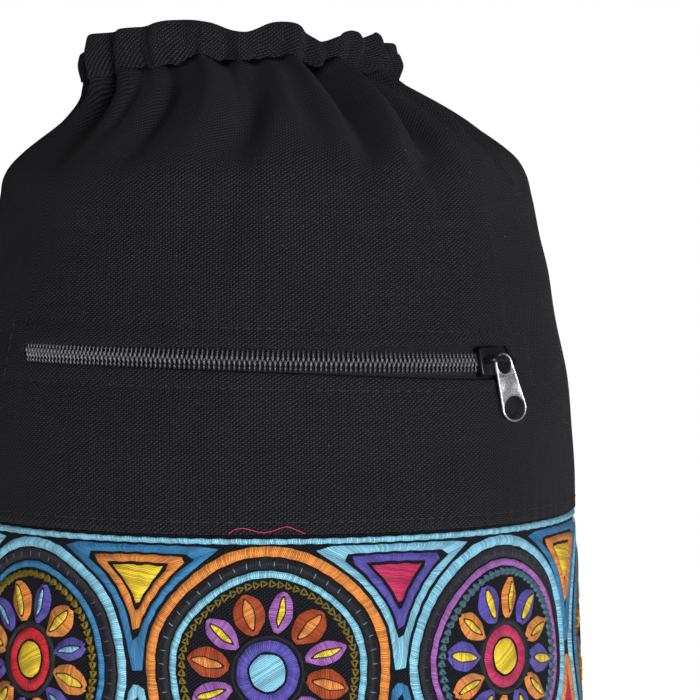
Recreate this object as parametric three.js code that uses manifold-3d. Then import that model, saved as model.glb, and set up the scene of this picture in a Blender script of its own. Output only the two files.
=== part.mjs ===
// Yoga mat bag: a tall canvas tube on a round base, drawn in to a gathered mouth, with a zip pocket
// across the front, an embroidered lower panel and a shoulder strap down the back.
// Millimetres, +Z up, front towards -Y. The origin is the centre of the base, on its flat underside.

import * as THREE from "three";
import { mergeVertices } from "three/addons/utils/BufferGeometryUtils.js";
import Module from "manifold-3d";

const wasm = await Module();
wasm.setup();

// Sizes of the tube
const bodyHalfWidth = 88;
const bodyHalfDepth = 86;
const bandHeight = 70;
const seamHeight = 543.5;
const gatherHeight = 664;
const casingHeight = 12.6;
const mouthHalfWidth = 43.5;
const mouthHalfDepth = 30;
const mouthShift = -8;

// Cloth thicknesses
const canvasWall = 1.6;
const panelWall = 2.4;
const bandWall = 2;
const casingWall = 2.8;
const baseThickness = 2.4;

// Folds and gathers
const foldDepth = 4.5;
const pleatDepth = 1.3;
const pleatCount = 19;
const pleatFade = 13;
const foldLead = 0.4;
const foldRise = 0.6;
const liftStart = 0.75;

// Zip pocket. The zip lies at a share of the way from the seam up to the gathers.
const zipShare = 43.5 / 120.5;
const zipHeight = seamHeight + (gatherHeight - seamHeight) * zipShare;
const slotHalfTurn = 50.5;
const zipDrop = 1.4;
const tapeHeight = 15;
const tapeThickness = 1;
const tapeOverlap = 6;
const coilHalfHeight = 2.1;
const coilThickness = 1.5;
const toothPitch = 2;
const toothDepth = 0.55;
const toothClearance = 0.21;

// Slider and pull tab
const sliderTurn = 44.2;
const sliderLength = 10.8;
const sliderWidth = 7.2;
const sliderPlate = 1.3;
const flangeThickness = 0.8;
const flangeLength = 5.6;
const flangeShift = -1.6;
const bridgeLength = 5.2;
const bridgeStart = -4.4;
const bridgeRadius = 0.45;
const bridgeClear = 3.4;
const tabLength = 18.4;
const tabEyeHalfWidth = 2;
const tabEyeHalfHeight = 2.4;
const tabEyeAbove = 1.2;
const tabHoleRadius = 3.05;
const tabRim = 0.6;
const tabThickness = 0.7;
const tabLift = 1.8;
const tabLean = 14;
const tabFacing = 18;
const tabPitch = 2;

// Shoulder strap
const strapWidth = 38;
const strapThickness = 2.4;
const strapFoot = 34;
const strapHeadShare = 78.5 / 120.5;
const strapHead = seamHeight + (gatherHeight - seamHeight) * strapHeadShare;
const strapSewn = 26;
const strapBow = 84;
const strapCurlFade = 7.2;

// Clearance kept between pieces that touch
const gap = 0.3;

// Number of facets round the tube, and along the zip
const canvasColumns = 80;
const casingColumns = 88;
const bodyColumns = 48;
const tapeSteps = 30;
const strapSteps = 32;

// Reach of the tube from its axis below the seam, as a share of the body's half width and depth.
// up is the share of the seam's height.
const lowerSections = [
  { up: 0, reach: 0.965 },
  { up: 0.012, reach: 0.985 },
  { up: 0.04, reach: 1 },
  { up: 0.129, reach: 1 },
  { up: 0.5, reach: 0.994 },
  { up: 0.9, reach: 1.005 },
  { up: 0.94, reach: 0.997 },
  { up: 0.97, reach: 0.99 },
  { up: 1, reach: 0.98 },
];

// Reach of the tube above the seam on its four sides, from 0 at the mouth's half size to 1 at the
// body's. up is the share of the way from the seam to the gathers.
const upperSections = [
  { up: 0, left: 0.95, right: 0.966, front: 0.955, back: 0.955 },
  { up: 0.09, left: 0.94, right: 0.964, front: 0.95, back: 0.95 },
  { up: 0.185, left: 0.926, right: 0.949, front: 0.93, back: 0.93 },
  { up: 0.305, left: 0.893, right: 0.926, front: 0.9, back: 0.9 },
  { up: 0.434, left: 0.81, right: 0.867, front: 0.85, back: 0.85 },
  { up: 0.543, left: 0.753, right: 0.825, front: 0.81, back: 0.81 },
  { up: 0.625, left: 0.685, right: 0.775, front: 0.77, back: 0.76 },
  { up: 0.717, left: 0.63, right: 0.733, front: 0.73, back: 0.7 },
  { up: 0.768, left: 0.6, right: 0.707, front: 0.69, back: 0.65 },
  { up: 0.813, left: 0.48, right: 0.642, front: 0.61, back: 0.56 },
  { up: 0.888, left: 0.205, right: 0.427, front: 0.4, back: 0.37 },
  { up: 0.957, left: 0.02, right: 0.168, front: 0.16, back: 0.15 },
  { up: 1, left: 0, right: 0, front: 0, back: 0 },
];

// Height of the mouth's two edges round the bag. turn is in degrees from the front towards the right,
// gather and top are shares of the casing's height above the gather line's own height.
const mouthEdge = [
  { turn: -180, gather: 0, top: 0.9 },
  { turn: -120, gather: -0.08, top: 0.84 },
  { turn: -76, gather: -0.12, top: 0.75 },
  { turn: -51, gather: -0.02, top: 0.88 },
  { turn: -35, gather: 0.06, top: 0.93 },
  { turn: -19, gather: 0.14, top: 1.04 },
  { turn: -3, gather: 0.2, top: 0.84 },
  { turn: 3, gather: 0.2, top: 0.78 },
  { turn: 13, gather: 0.18, top: 0.97 },
  { turn: 20, gather: 0.16, top: 0.98 },
  { turn: 34, gather: 0.1, top: 0.62 },
  { turn: 48, gather: 0.02, top: 0.84 },
  { turn: 64, gather: -0.06, top: 0.82 },
  { turn: 81, gather: -0.12, top: 0.6 },
  { turn: 125, gather: -0.08, top: 0.86 },
  { turn: 180, gather: 0, top: 0.9 },
];

// Folds that run down from the gathers. Each goes from one turn and height to another, the heights as
// shares of the way from the seam to the gathers. depth is a share of the fold depth, below 0 for a
// valley, and wide is the fold's half width in degrees of turn.
const folds = [
  { name: "left valley", turnTop: -28, upTop: 0.97, turnEnd: -32, upEnd: 0.72, depth: -0.55, wide: 6 },
  { name: "left ridge", turnTop: -17, upTop: 0.95, turnEnd: -21, upEnd: 0.6, depth: 0.5, wide: 6 },
  { name: "front valley", turnTop: 2, upTop: 0.97, turnEnd: -12, upEnd: 0.74, depth: -0.6, wide: 5 },
  { name: "front ridge", turnTop: 8, upTop: 0.97, turnEnd: -4, upEnd: 0.7, depth: 0.4, wide: 4.5 },
  { name: "front crease", turnTop: -5, upTop: 0.8, turnEnd: -8, upEnd: 0.5, depth: -0.35, wide: 3.5 },
  { name: "middle dent", turnTop: 9, upTop: 0.92, turnEnd: 15, upEnd: 0.82, depth: -0.4, wide: 6 },
  { name: "deep valley", turnTop: 27, upTop: 0.98, turnEnd: 20, upEnd: 0.72, depth: -1, wide: 4.5 },
  { name: "right ridge", turnTop: 34, upTop: 0.97, turnEnd: 26, upEnd: 0.7, depth: 0.5, wide: 4.5 },
  { name: "right valley", turnTop: 42, upTop: 0.95, turnEnd: 34, upEnd: 0.72, depth: -0.9, wide: 4.5 },
  { name: "shoulder ridge", turnTop: 56, upTop: 0.95, turnEnd: 41, upEnd: 0.74, depth: 0.45, wide: 6 },
  { name: "right crease", turnTop: 42, upTop: 0.8, turnEnd: 31, upEnd: 0.42, depth: -0.3, wide: 4.5 },
  { name: "right side ridge", turnTop: 71, upTop: 0.7, turnEnd: 63, upEnd: 0.05, depth: 0.4, wide: 8 },
  { name: "left side ridge", turnTop: -71, upTop: 0.7, turnEnd: -63, upEnd: 0.05, depth: 0.4, wide: 8 },
  { name: "left shoulder valley", turnTop: -58, upTop: 0.96, turnEnd: -50, upEnd: 0.72, depth: -0.6, wide: 6 },
  { name: "back right valley", turnTop: 112, upTop: 0.97, turnEnd: 118, upEnd: 0.66, depth: -0.7, wide: 7 },
  { name: "back right ridge", turnTop: 136, upTop: 0.96, turnEnd: 138, upEnd: 0.62, depth: 0.5, wide: 8 },
  { name: "back middle valley", turnTop: 158, upTop: 0.97, turnEnd: 156, upEnd: 0.6, depth: -0.7, wide: 7 },
  { name: "back left ridge", turnTop: -160, upTop: 0.96, turnEnd: -158, upEnd: 0.64, depth: 0.4, wide: 7 },
  { name: "back left valley", turnTop: -134, upTop: 0.97, turnEnd: -140, upEnd: 0.62, depth: -0.8, wide: 7 },
  { name: "left back ridge", turnTop: -104, upTop: 0.96, turnEnd: -108, upEnd: 0.64, depth: 0.5, wide: 8 },
];

// Half height of the zip's slot along its length, as a share of the tape's height.
const slotShape = [
  { turn: -1, half: 0.16 },
  { turn: 0, half: 0.2 },
  { turn: 0.74, half: 0.28 },
  { turn: 1, half: 0.29 },
];

// Side view of the strap: up is the share of its height from foot to head, out that of its bow.
const strapPath = [
  { up: 0.05, out: 0.012 },
  { up: 0.09, out: 0.15 },
  { up: 0.16, out: 0.51 },
  { up: 0.27, out: 0.86 },
  { up: 0.4, out: 1 },
  { up: 0.55, out: 0.92 },
  { up: 0.7, out: 0.66 },
  { up: 0.84, out: 0.3 },
  { up: 0.91, out: 0.12 },
  { up: 0.95, out: 0.03 },
];

const radians = THREE.MathUtils.degToRad;

// A column of a table at a place between its rows, along a smooth curve through them.
function columnAt(rows, key, column, place) {
  const last = rows.length - 1;
  const at = Math.min(Math.max(place, rows[0][key]), rows[last][key]);
  let i = 0;
  while (i < last - 1 && rows[i + 1][key] < at) i += 1;
  const slopeAt = (k) => {
    const before = rows[Math.max(k - 1, 0)];
    const after = rows[Math.min(k + 1, last)];
    return (after[column] - before[column]) / (after[key] - before[key]);
  };
  const span = rows[i + 1][key] - rows[i][key];
  const t = (at - rows[i][key]) / span;
  const rise = rows[i + 1][column] - rows[i][column];
  const ease = t * t * (3 - 2 * t);
  const startPull = slopeAt(i) * span * t * (1 - t) * (1 - t);
  const endPull = slopeAt(i + 1) * span * t * t * (1 - t);
  return rows[i][column] + rise * ease + startPull - endPull;
}

// Half sizes of the tube at a height: to the left, right, front and back of the axis.
function reachAt(height) {
  if (height <= seamHeight) {
    const reach = columnAt(lowerSections, "up", "reach", height / seamHeight);
    const side = bodyHalfWidth * reach;
    const face = bodyHalfDepth * reach;
    return { left: side, right: side, front: face, back: face };
  }
  const up = (height - seamHeight) / (gatherHeight - seamHeight);
  const between = (small, large, column) => small + (large - small) * columnAt(upperSections, "up", column, up);
  return {
    left: between(mouthHalfWidth - mouthShift, bodyHalfWidth, "left"),
    right: between(mouthHalfWidth + mouthShift, bodyHalfWidth, "right"),
    front: between(mouthHalfDepth, bodyHalfDepth, "front"),
    back: between(mouthHalfDepth, bodyHalfDepth, "back"),
  };
}

// The smooth tube without its folds.
function tubePoint(turn, height) {
  const reach = reachAt(height);
  const a = radians(turn);
  const middle = (reach.right - reach.left) / 2;
  const half = (reach.right + reach.left) / 2;
  const depth = Math.cos(a) > 0 ? reach.front : reach.back;
  return new THREE.Vector3(middle + half * Math.sin(a), -depth * Math.cos(a), height);
}

// The outward direction of the smooth tube.
function tubeNormal(turn, height) {
  const step = 0.5;
  const round = tubePoint(turn + step, height).sub(tubePoint(turn - step, height));
  const rise = tubePoint(turn, height + step).sub(tubePoint(turn, height - step));
  return round.cross(rise).normalize();
}

// Small pleats of the gathered hem, from -1 to 1 round the mouth.
function pleatAt(turn) {
  const a = radians(turn);
  return Math.sin(pleatCount * a + 1.3 * Math.sin(2 * a) + 0.8 * Math.sin(3 * a + 1));
}

// How far the cloth stands out from the smooth tube.
function foldAt(turn, height) {
  const up = (height - seamHeight) / (gatherHeight - seamHeight);
  let out = 0;
  for (const fold of folds) {
    const along = (fold.upTop - up) / (fold.upTop - fold.upEnd);
    if (along < -foldLead || along > 1) continue;
    const centre = fold.turnTop + (fold.turnEnd - fold.turnTop) * along;
    const across = Math.abs(((turn - centre + 540) % 360) - 180) / fold.wide;
    const rise = Math.min((along + foldLead) / foldRise, 1);
    const fade = Math.sin((Math.PI / 2) * rise) * Math.cos((Math.PI / 2) * Math.max(along, 0));
    out += foldDepth * fold.depth * Math.exp(-across * across) * fade;
  }
  const below = Math.max(gatherHeight - height, 0);
  const pleat = height > seamHeight ? Math.exp(-below / pleatFade) : 0;
  return out + pleatDepth * pleatAt(turn) * pleat;
}

// A point of the cloth, sunk by inset below its outer face.
function clothPoint(turn, height, inset) {
  const stand = foldAt(turn, height) - inset;
  return tubePoint(turn, height).addScaledVector(tubeNormal(turn, height), stand);
}

// Turns the faces of a closed shape outwards.
function facingOut(geometry) {
  const index = geometry.index.array;
  const position = geometry.attributes.position;
  const corner = [0, 1, 2].map(() => new THREE.Vector3());
  let volume = 0;
  for (let i = 0; i < index.length; i += 3) {
    corner.forEach((v, k) => v.fromBufferAttribute(position, index[i + k]));
    volume += corner[0].dot(corner[1].clone().cross(corner[2]));
  }
  if (volume < 0) {
    for (let i = 0; i < index.length; i += 3) {
      [index[i + 1], index[i + 2]] = [index[i + 2], index[i + 1]];
    }
  }
  return geometry;
}

// A skin through loops of points. A closed row of loops makes a ring; an open one gets flat ends.
function skinOf(loops, closed) {
  const count = loops[0].length;
  const positions = loops.flat().flatMap((p) => [p.x, p.y, p.z]);
  const index = [];
  const spans = closed ? loops.length : loops.length - 1;
  for (let s = 0; s < spans; s += 1) {
    const a = s * count;
    const b = ((s + 1) % loops.length) * count;
    for (let i = 0; i < count; i += 1) {
      const j = (i + 1) % count;
      index.push(a + i, a + j, b + j, a + i, b + j, b + i);
    }
  }
  if (!closed) {
    const end = (loops.length - 1) * count;
    const half = count / 2;
    for (let i = 0; i < half - 1; i += 1) {
      const j = count - 1 - i;
      index.push(i, j, j - 1, i, j - 1, i + 1);
      index.push(end + i, end + j - 1, end + j, end + i, end + i + 1, end + j - 1);
    }
  }
  const geometry = new THREE.BufferGeometry();
  geometry.setAttribute("position", new THREE.Float32BufferAttribute(positions, 3));
  geometry.setIndex(index);
  return facingOut(geometry);
}

// A closed wall round the bag: pointAt(turn, row, inset) gives its outer and inner faces.
function tubeWall(columns, rows, thickness, pointAt) {
  const loopAt = (row, inset) =>
    Array.from({ length: columns }, (_, i) => pointAt((360 * i) / columns, row, inset));
  const outer = rows.map((row) => loopAt(row, 0));
  const inner = rows.map((row) => loopAt(row, thickness)).reverse();
  return skinOf([...outer, ...inner], true);
}

// Height of the zip's centre line, which drops a little from the left end of the slot to the right.
const zipLine = (turn) => zipHeight - (zipDrop * Math.sin(radians(turn))) / Math.sin(radians(slotHalfTurn));

// Booleans work on solids whose shared corners are merged.
function solidOf(geometry) {
  const plain = geometry.clone();
  plain.deleteAttribute("normal");
  plain.deleteAttribute("uv");
  const merged = mergeVertices(plain, 1e-4);
  const mesh = new wasm.Mesh({
    numProp: 3,
    vertProperties: new Float32Array(merged.attributes.position.array),
    triVerts: new Uint32Array(merged.index.array),
  });
  return new wasm.Manifold(mesh);
}

function geometryOf(solid) {
  const mesh = solid.getMesh();
  const geometry = new THREE.BufferGeometry();
  geometry.setAttribute("position", new THREE.BufferAttribute(new Float32Array(mesh.vertProperties), 3));
  geometry.setIndex(new THREE.BufferAttribute(new Uint32Array(mesh.triVerts), 1));
  return geometry;
}

// Materials
const blackCanvas = new THREE.MeshStandardMaterial({ color: 0x1f1e23, roughness: 0.95, metalness: 0 });
const blackTape = new THREE.MeshStandardMaterial({ color: 0x19181c, roughness: 0.85, metalness: 0 });
const embroidery = new THREE.MeshStandardMaterial({ color: 0x2b6ea1, roughness: 0.6, metalness: 0 });
const coilNylon = new THREE.MeshStandardMaterial({ color: 0x26262b, roughness: 0.35, metalness: 0 });
const sliderPaint = new THREE.MeshStandardMaterial({ color: 0x141416, roughness: 0.35, metalness: 0.6 });
const tabSilver = new THREE.MeshStandardMaterial({ color: 0xa8a7ac, roughness: 0.4, metalness: 0.9 });
const webbing = new THREE.MeshStandardMaterial({ color: 0x1a191d, roughness: 0.85, metalness: 0 });

const bag = new THREE.Group();

function addPiece(parent, name, geometry, material) {
  const mesh = new THREE.Mesh(geometry, material);
  mesh.name = name;
  parent.add(mesh);
  return mesh;
}

// Gathered casing round the mouth: its lower edge follows the gather line and its top edge is wavy.
// puff is how far a row stands out, as a share of the casing's wall.
function casingPoint(turn, row, inset) {
  const wrapped = turn > 180 ? turn - 360 : turn;
  const low = columnAt(mouthEdge, "turn", "gather", wrapped) * casingHeight + gap / 2;
  const high = columnAt(mouthEdge, "turn", "top", wrapped) * casingHeight;
  const a = radians(turn);
  const stand = row.puff * casingWall + pleatDepth * pleatAt(turn) - inset;
  const x = mouthShift + (mouthHalfWidth + stand) * Math.sin(a);
  const y = -(mouthHalfDepth + stand) * Math.cos(a);
  return new THREE.Vector3(x, y, gatherHeight + low + (high - low) * row.up);
}
const casingRows = [
  { up: 0, puff: 0.16 },
  { up: 0.35, puff: 0.35 },
  { up: 0.75, puff: 0.11 },
  { up: 1, puff: 0 },
];
addPiece(bag, "drawcord_casing", tubeWall(casingColumns, casingRows, casingWall, casingPoint), blackCanvas);

// Upper canvas with the slot of the zip pocket. Its rows end on the gather line.
function canvasPoint(turn, row, inset) {
  const wrapped = turn > 180 ? turn - 360 : turn;
  const edge = columnAt(mouthEdge, "turn", "gather", wrapped) * casingHeight;
  const foot = seamHeight + gap / 2;
  const height = foot + (gatherHeight - gap / 2 - foot) * row.up;
  if (row.up === 0 || row.up === 1) {
    const level = tubeNormal(turn, height).setZ(0).normalize();
    const rim = tubePoint(turn, height).addScaledVector(level, foldAt(turn, height) - inset);
    rim.z += edge * row.up;
    return rim;
  }
  const point = clothPoint(turn, height, inset);
  point.z += edge * THREE.MathUtils.smoothstep(row.up, liftStart, 1);
  return point;
}
const canvasRows = [0, 0.1, 0.22, 0.34, 0.45, 0.54, 0.63, 0.7, 0.76, 0.81, 0.86, 0.91, 0.955, 1].map((up) => ({ up }));
const slotCutter = (() => {
  const reach = reachAt(zipHeight).right * Math.sin(radians(slotHalfTurn));
  const edge = (side) => slotShape.map((p) => new THREE.Vector2(
    p.turn * reach, zipHeight - zipDrop * p.turn + side * p.half * tapeHeight,
  ));
  const upperEdge = edge(1);
  const lowerEdge = edge(-1);
  const outline = new THREE.Shape([...lowerEdge, ...upperEdge.reverse()]);
  const cutter = new THREE.ExtrudeGeometry(outline, { depth: 2 * bodyHalfDepth, bevelEnabled: false });
  cutter.rotateX(Math.PI / 2);
  return solidOf(cutter);
})();
const canvasWhole = solidOf(tubeWall(canvasColumns, canvasRows, canvasWall, canvasPoint));
addPiece(bag, "upper_canvas", geometryOf(canvasWhole.subtract(slotCutter)), blackCanvas);

// Embroidered panel, from the base band up to the seam
function tubeRows(low, high, shares) {
  return shares.map((share) => ({ height: low + (high - low) * share }));
}
const wallPoint = (turn, row, inset) => {
  const point = tubePoint(turn, row.height);
  const sink = inset / Math.hypot(point.x, point.y);
  return point.multiply(new THREE.Vector3(1 - sink, 1 - sink, 1));
};
const panelRows = tubeRows(bandHeight + gap / 2, seamHeight - gap / 2, [0, 0.25, 0.6, 0.88, 0.95, 1]);
addPiece(bag, "embroidered_panel", tubeWall(bodyColumns, panelRows, panelWall, wallPoint), embroidery);

// Base band and base
const bandRows = tubeRows(0, bandHeight - gap / 2, [0, 0.09, 0.31, 1]);
addPiece(bag, "base_band", tubeWall(bodyColumns, bandRows, bandWall, wallPoint), blackCanvas);

const footReach = lowerSections[0].reach;
const baseDisc = new THREE.CylinderGeometry(1, 1, baseThickness, bodyColumns);
baseDisc.rotateX(Math.PI / 2);
baseDisc.scale(
  bodyHalfWidth * footReach - bandWall - gap,
  bodyHalfDepth * footReach - bandWall - gap,
  1,
);
baseDisc.translate(0, 0, baseThickness / 2);
addPiece(bag, "base_disc", baseDisc, blackCanvas);

// A strip along the zip: lowAt and highAt give its edges above the zip's centre line, and shares
// where its faces bend between them.
function zipStrip(turnFrom, turnTo, steps, outerInset, thickness, lowAt, highAt, shares) {
  const loops = [];
  for (let i = 0; i <= steps; i += 1) {
    const turn = turnFrom + ((turnTo - turnFrom) * i) / steps;
    const low = zipLine(turn) + lowAt(i);
    const high = zipLine(turn) + highAt(i);
    const heights = shares.map((share) => low + (high - low) * share);
    loops.push([
      ...heights.map((z) => clothPoint(turn, z, outerInset)),
      ...heights.reverse().map((z) => clothPoint(turn, z, outerInset + thickness)),
    ]);
  }
  return skinOf(loops, false);
}
const mmPerDegree = radians(1) * reachAt(zipHeight).front;
const tapeTurn = slotHalfTurn + tapeOverlap / mmPerDegree;
const tapeInset = canvasWall + gap;
const halfTape = tapeHeight / 2;
const tape = zipStrip(-tapeTurn, tapeTurn, tapeSteps, tapeInset, tapeThickness,
  () => -halfTape, () => halfTape, [0, 0.5, 1]);
addPiece(bag, "zip_tape", tape, blackTape);

// Toothed rows: the teeth of one row lie between those of the other
const coilInset = tapeInset - gap - coilThickness;
const coilStart = -slotHalfTurn + gap / mmPerDegree;
const coilEnd = sliderTurn;
const coilTeeth = Math.round(((coilEnd - coilStart) * mmPerDegree) / toothPitch);
const coilEdge = (i) => (i % 2 === 0 ? toothDepth : -toothDepth) / 2;
const upperRow = zipStrip(coilStart, coilEnd, coilTeeth * 2, coilInset, coilThickness,
  (i) => coilEdge(i) + toothClearance, () => coilHalfHeight, [0, 1]);
const lowerRow = zipStrip(coilStart, coilEnd, coilTeeth * 2, coilInset, coilThickness,
  () => -coilHalfHeight, (i) => coilEdge(i) - toothClearance, [0, 1]);
addPiece(bag, "zip_coil_upper", upperRow, coilNylon);
addPiece(bag, "zip_coil_lower", lowerRow, coilNylon);

// Slider, in a frame whose X runs along the zip, Y up the cloth and Z out of it
const sliderSeat = new THREE.Group();
const sliderHeight = zipLine(sliderTurn);
const sliderNormal = tubeNormal(sliderTurn, sliderHeight);
const sliderAlong = new THREE.Vector3(Math.cos(radians(sliderTurn)), Math.sin(radians(sliderTurn)), 0);
sliderAlong.addScaledVector(sliderNormal, -sliderAlong.dot(sliderNormal)).setZ(0).normalize();
const sliderOut = sliderNormal.clone().addScaledVector(sliderAlong, -sliderNormal.dot(sliderAlong)).normalize();
const sliderUp = sliderOut.clone().cross(sliderAlong);
sliderSeat.quaternion.setFromRotationMatrix(
  new THREE.Matrix4().makeBasis(sliderAlong, sliderUp, sliderOut),
);
sliderSeat.position.copy(clothPoint(sliderTurn, sliderHeight, 0));
bag.add(sliderSeat);

const plateBottom = gap - coilInset;
const plateTop = plateBottom + sliderPlate;
// Edge of the plate from its square end to its rounded one, as shares of its half length and width
const plateEdge = [
  { along: -1, wide: 0.86 },
  { along: -0.96, wide: 0.96 },
  { along: -0.84, wide: 1 },
  { along: 0.1, wide: 1 },
  { along: 0.49, wide: 0.93 },
  { along: 0.86, wide: 0.72 },
  { along: 0.93, wide: 0.36 },
  { along: 0.95, wide: 0 },
];
const plateSide = (rows, side) => rows.map(
  (row) => new THREE.Vector2((row.along * sliderLength) / 2, (side * row.wide * sliderWidth) / 2),
);
const plateOutline = new THREE.Shape([
  ...plateSide(plateEdge, -1),
  ...plateSide(plateEdge.slice(0, -1).reverse(), 1),
]);
const plate = new THREE.ExtrudeGeometry(plateOutline, { depth: sliderPlate, bevelEnabled: false });
plate.translate(0, 0, plateBottom);
const flangeDepth = plateBottom + tapeInset - gap;
const flanges = [-1, 1].map((side) => {
  const flange = new THREE.BoxGeometry(flangeLength, flangeThickness, flangeDepth + sliderPlate / 2);
  const middle = plateBottom - flangeDepth + (flangeDepth + sliderPlate / 2) / 2;
  flange.translate(flangeShift, (side * (sliderWidth - flangeThickness)) / 2, middle);
  return flange;
});
const bridgePath = [
  { along: 0, up: -0.2 },
  { along: 0, up: 0.6 },
  { along: 0.12, up: 0.93 },
  { along: 0.3, up: 1 },
  { along: 0.7, up: 1 },
  { along: 0.88, up: 0.93 },
  { along: 1, up: 0.6 },
  { along: 1, up: -0.2 },
];
const bridgeCurve = new THREE.CatmullRomCurve3(bridgePath.map((row) => new THREE.Vector3(
  bridgeStart + bridgeLength * row.along, 0, plateTop + bridgeClear * row.up,
)));
const bridgeSection = new THREE.Shape().absarc(0, 0, bridgeRadius, 0, Math.PI * 2, false);
const bridge = new THREE.ExtrudeGeometry(bridgeSection, {
  steps: 18, curveSegments: 4, extrudePath: bridgeCurve,
});
const sliderSolid = [...flanges, bridge].reduce((sum, part) => sum.add(solidOf(part)), solidOf(plate));
addPiece(sliderSeat, "zip_slider", geometryOf(sliderSolid), sliderPaint);

// Pull tab: its oval eye goes round the right leg of the bridge, on which it swings. It hangs down,
// leaning a little and turned towards the front. Its origin is on the leg.
const tabSeat = new THREE.Group();
const tabShape = (() => {
  const eyeCentre = tabEyeAbove - tabEyeHalfHeight;
  const eyeOuterX = tabEyeHalfWidth + tabRim;
  const eyeOuterY = tabEyeHalfHeight + tabRim;
  const holeOuter = tabHoleRadius + tabRim;
  const holeCentre = eyeCentre + eyeOuterY - tabLength + holeOuter;
  const outline = new THREE.Shape();
  outline.absellipse(0, eyeCentre, eyeOuterX, eyeOuterY, 0, Math.PI, false);
  outline.absellipse(0, holeCentre, holeOuter, holeOuter, Math.PI, 2 * Math.PI, false);
  outline.closePath();
  const eye = new THREE.Path().absellipse(0, eyeCentre, tabEyeHalfWidth, tabEyeHalfHeight, 0, 2 * Math.PI, true);
  const hole = new THREE.Path().absarc(0, holeCentre, tabHoleRadius, 0, 2 * Math.PI, true);
  outline.holes.push(eye, hole);
  return outline;
})();
const tabPlate = new THREE.ExtrudeGeometry(tabShape, {
  depth: tabThickness, bevelEnabled: false, curveSegments: 8,
});
tabPlate.translate(0, 0, -tabThickness / 2);
tabPlate.rotateZ(radians(tabLean));
tabPlate.rotateY(radians(-tabFacing));
tabPlate.rotateX(radians(-tabPitch));
const tabUpright = new THREE.Matrix4().makeBasis(
  sliderAlong,
  new THREE.Vector3(0, 0, 1),
  sliderAlong.clone().cross(new THREE.Vector3(0, 0, 1)),
);
tabSeat.quaternion.setFromRotationMatrix(tabUpright);
tabSeat.position.copy(sliderSeat.position)
  .addScaledVector(sliderOut, plateTop + tabLift)
  .addScaledVector(sliderAlong, bridgeStart + bridgeLength);
bag.add(tabSeat);
addPiece(tabSeat, "pull_tab", tabPlate, tabSilver);

// Shoulder strap: sewn flat to the back at both ends, bowed out between them
const strapRise = strapHead - strapFoot;
const backOf = (height) => clothPoint(180, height, 0).y;
const sewnShare = strapSewn / strapRise;
const strapRows = [
  { up: 0, out: 0 },
  { up: sewnShare / 2, out: 0 },
  ...strapPath.filter((row) => row.up > sewnShare && row.up < 1 - sewnShare),
  { up: 1 - sewnShare / 2, out: 0 },
  { up: 1, out: 0 },
];
const strapCurve = new THREE.CatmullRomCurve3(strapRows.map((row) => {
  const height = strapFoot + strapRise * row.up;
  return new THREE.Vector3(0, backOf(height) + gap + strapThickness / 2 + strapBow * row.out, height);
}), false, "centripetal");
const strapAcross = [-1, -0.5, 0, 0.5, 1];
const strapLoops = Array.from({ length: strapSteps + 1 }, (_, i) => {
  const centre = strapCurve.getPointAt(i / strapSteps);
  const along = strapCurve.getTangentAt(i / strapSteps);
  const out = new THREE.Vector3(1, 0, 0).cross(along).negate().normalize();
  const lift = centre.y - strapThickness / 2 - gap - backOf(centre.z);
  const curl = Math.exp(-lift / strapCurlFade);
  const at = (share, side) => {
    const x = (share * strapWidth) / 2;
    const turn = 180 - THREE.MathUtils.radToDeg(Math.asin(x / reachAt(centre.z).right));
    const drop = curl * (backOf(centre.z) - clothPoint(turn, centre.z, 0).y);
    return centre.clone().addScaledVector(out, (side * strapThickness) / 2).add(new THREE.Vector3(x, -drop, 0));
  };
  return [...strapAcross.map((s) => at(s, 1)), ...strapAcross.map((s) => at(-s, -1))];
});
addPiece(bag, "shoulder_strap", skinOf(strapLoops, false), webbing);

export default bag;
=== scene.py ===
"""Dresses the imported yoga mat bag: canvas, gathered casing, zip, embroidery, base, strap and stage.

Lengths in the tables and in the shape functions are millimetres, as in the part; Blender gets metres.
Turns are degrees from the front of the bag towards its right side.
"""

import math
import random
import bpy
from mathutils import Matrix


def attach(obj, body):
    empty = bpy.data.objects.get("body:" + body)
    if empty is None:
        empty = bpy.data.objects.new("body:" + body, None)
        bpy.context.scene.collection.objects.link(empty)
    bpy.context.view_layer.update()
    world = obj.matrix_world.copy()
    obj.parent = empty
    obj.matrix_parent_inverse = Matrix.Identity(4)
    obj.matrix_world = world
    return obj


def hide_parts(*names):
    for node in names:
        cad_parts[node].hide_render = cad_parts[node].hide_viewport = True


bl_info = {
    "name": "Yoga Mat Bag",
    "version": (1, 0, 0),
    "blender": (4, 5, 0),
    "location": "View3D > Sidebar > Mat Bag",
    "description": "Builds the cloth, zip, embroidery and stage around the packed mat bag",
    "category": "Add Mesh",
}

import bmesh
import bpy
import numpy as np
from bpy.props import FloatProperty, FloatVectorProperty, IntProperty, PointerProperty
from bpy.types import Operator, Panel, PropertyGroup
from mathutils import Matrix, Vector

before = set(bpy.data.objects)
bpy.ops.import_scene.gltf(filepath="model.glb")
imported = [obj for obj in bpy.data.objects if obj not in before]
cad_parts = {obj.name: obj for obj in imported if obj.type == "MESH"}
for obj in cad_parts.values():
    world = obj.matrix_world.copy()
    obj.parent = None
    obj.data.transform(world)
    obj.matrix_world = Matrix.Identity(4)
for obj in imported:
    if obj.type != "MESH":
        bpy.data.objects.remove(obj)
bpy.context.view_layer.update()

MM = 0.001
CLOTH_MAP = "cloth"


def table(columns, *rows):
    """Rows of a table, each with its columns by name."""
    return [dict(zip(columns.split(), row)) for row in rows]


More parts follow.
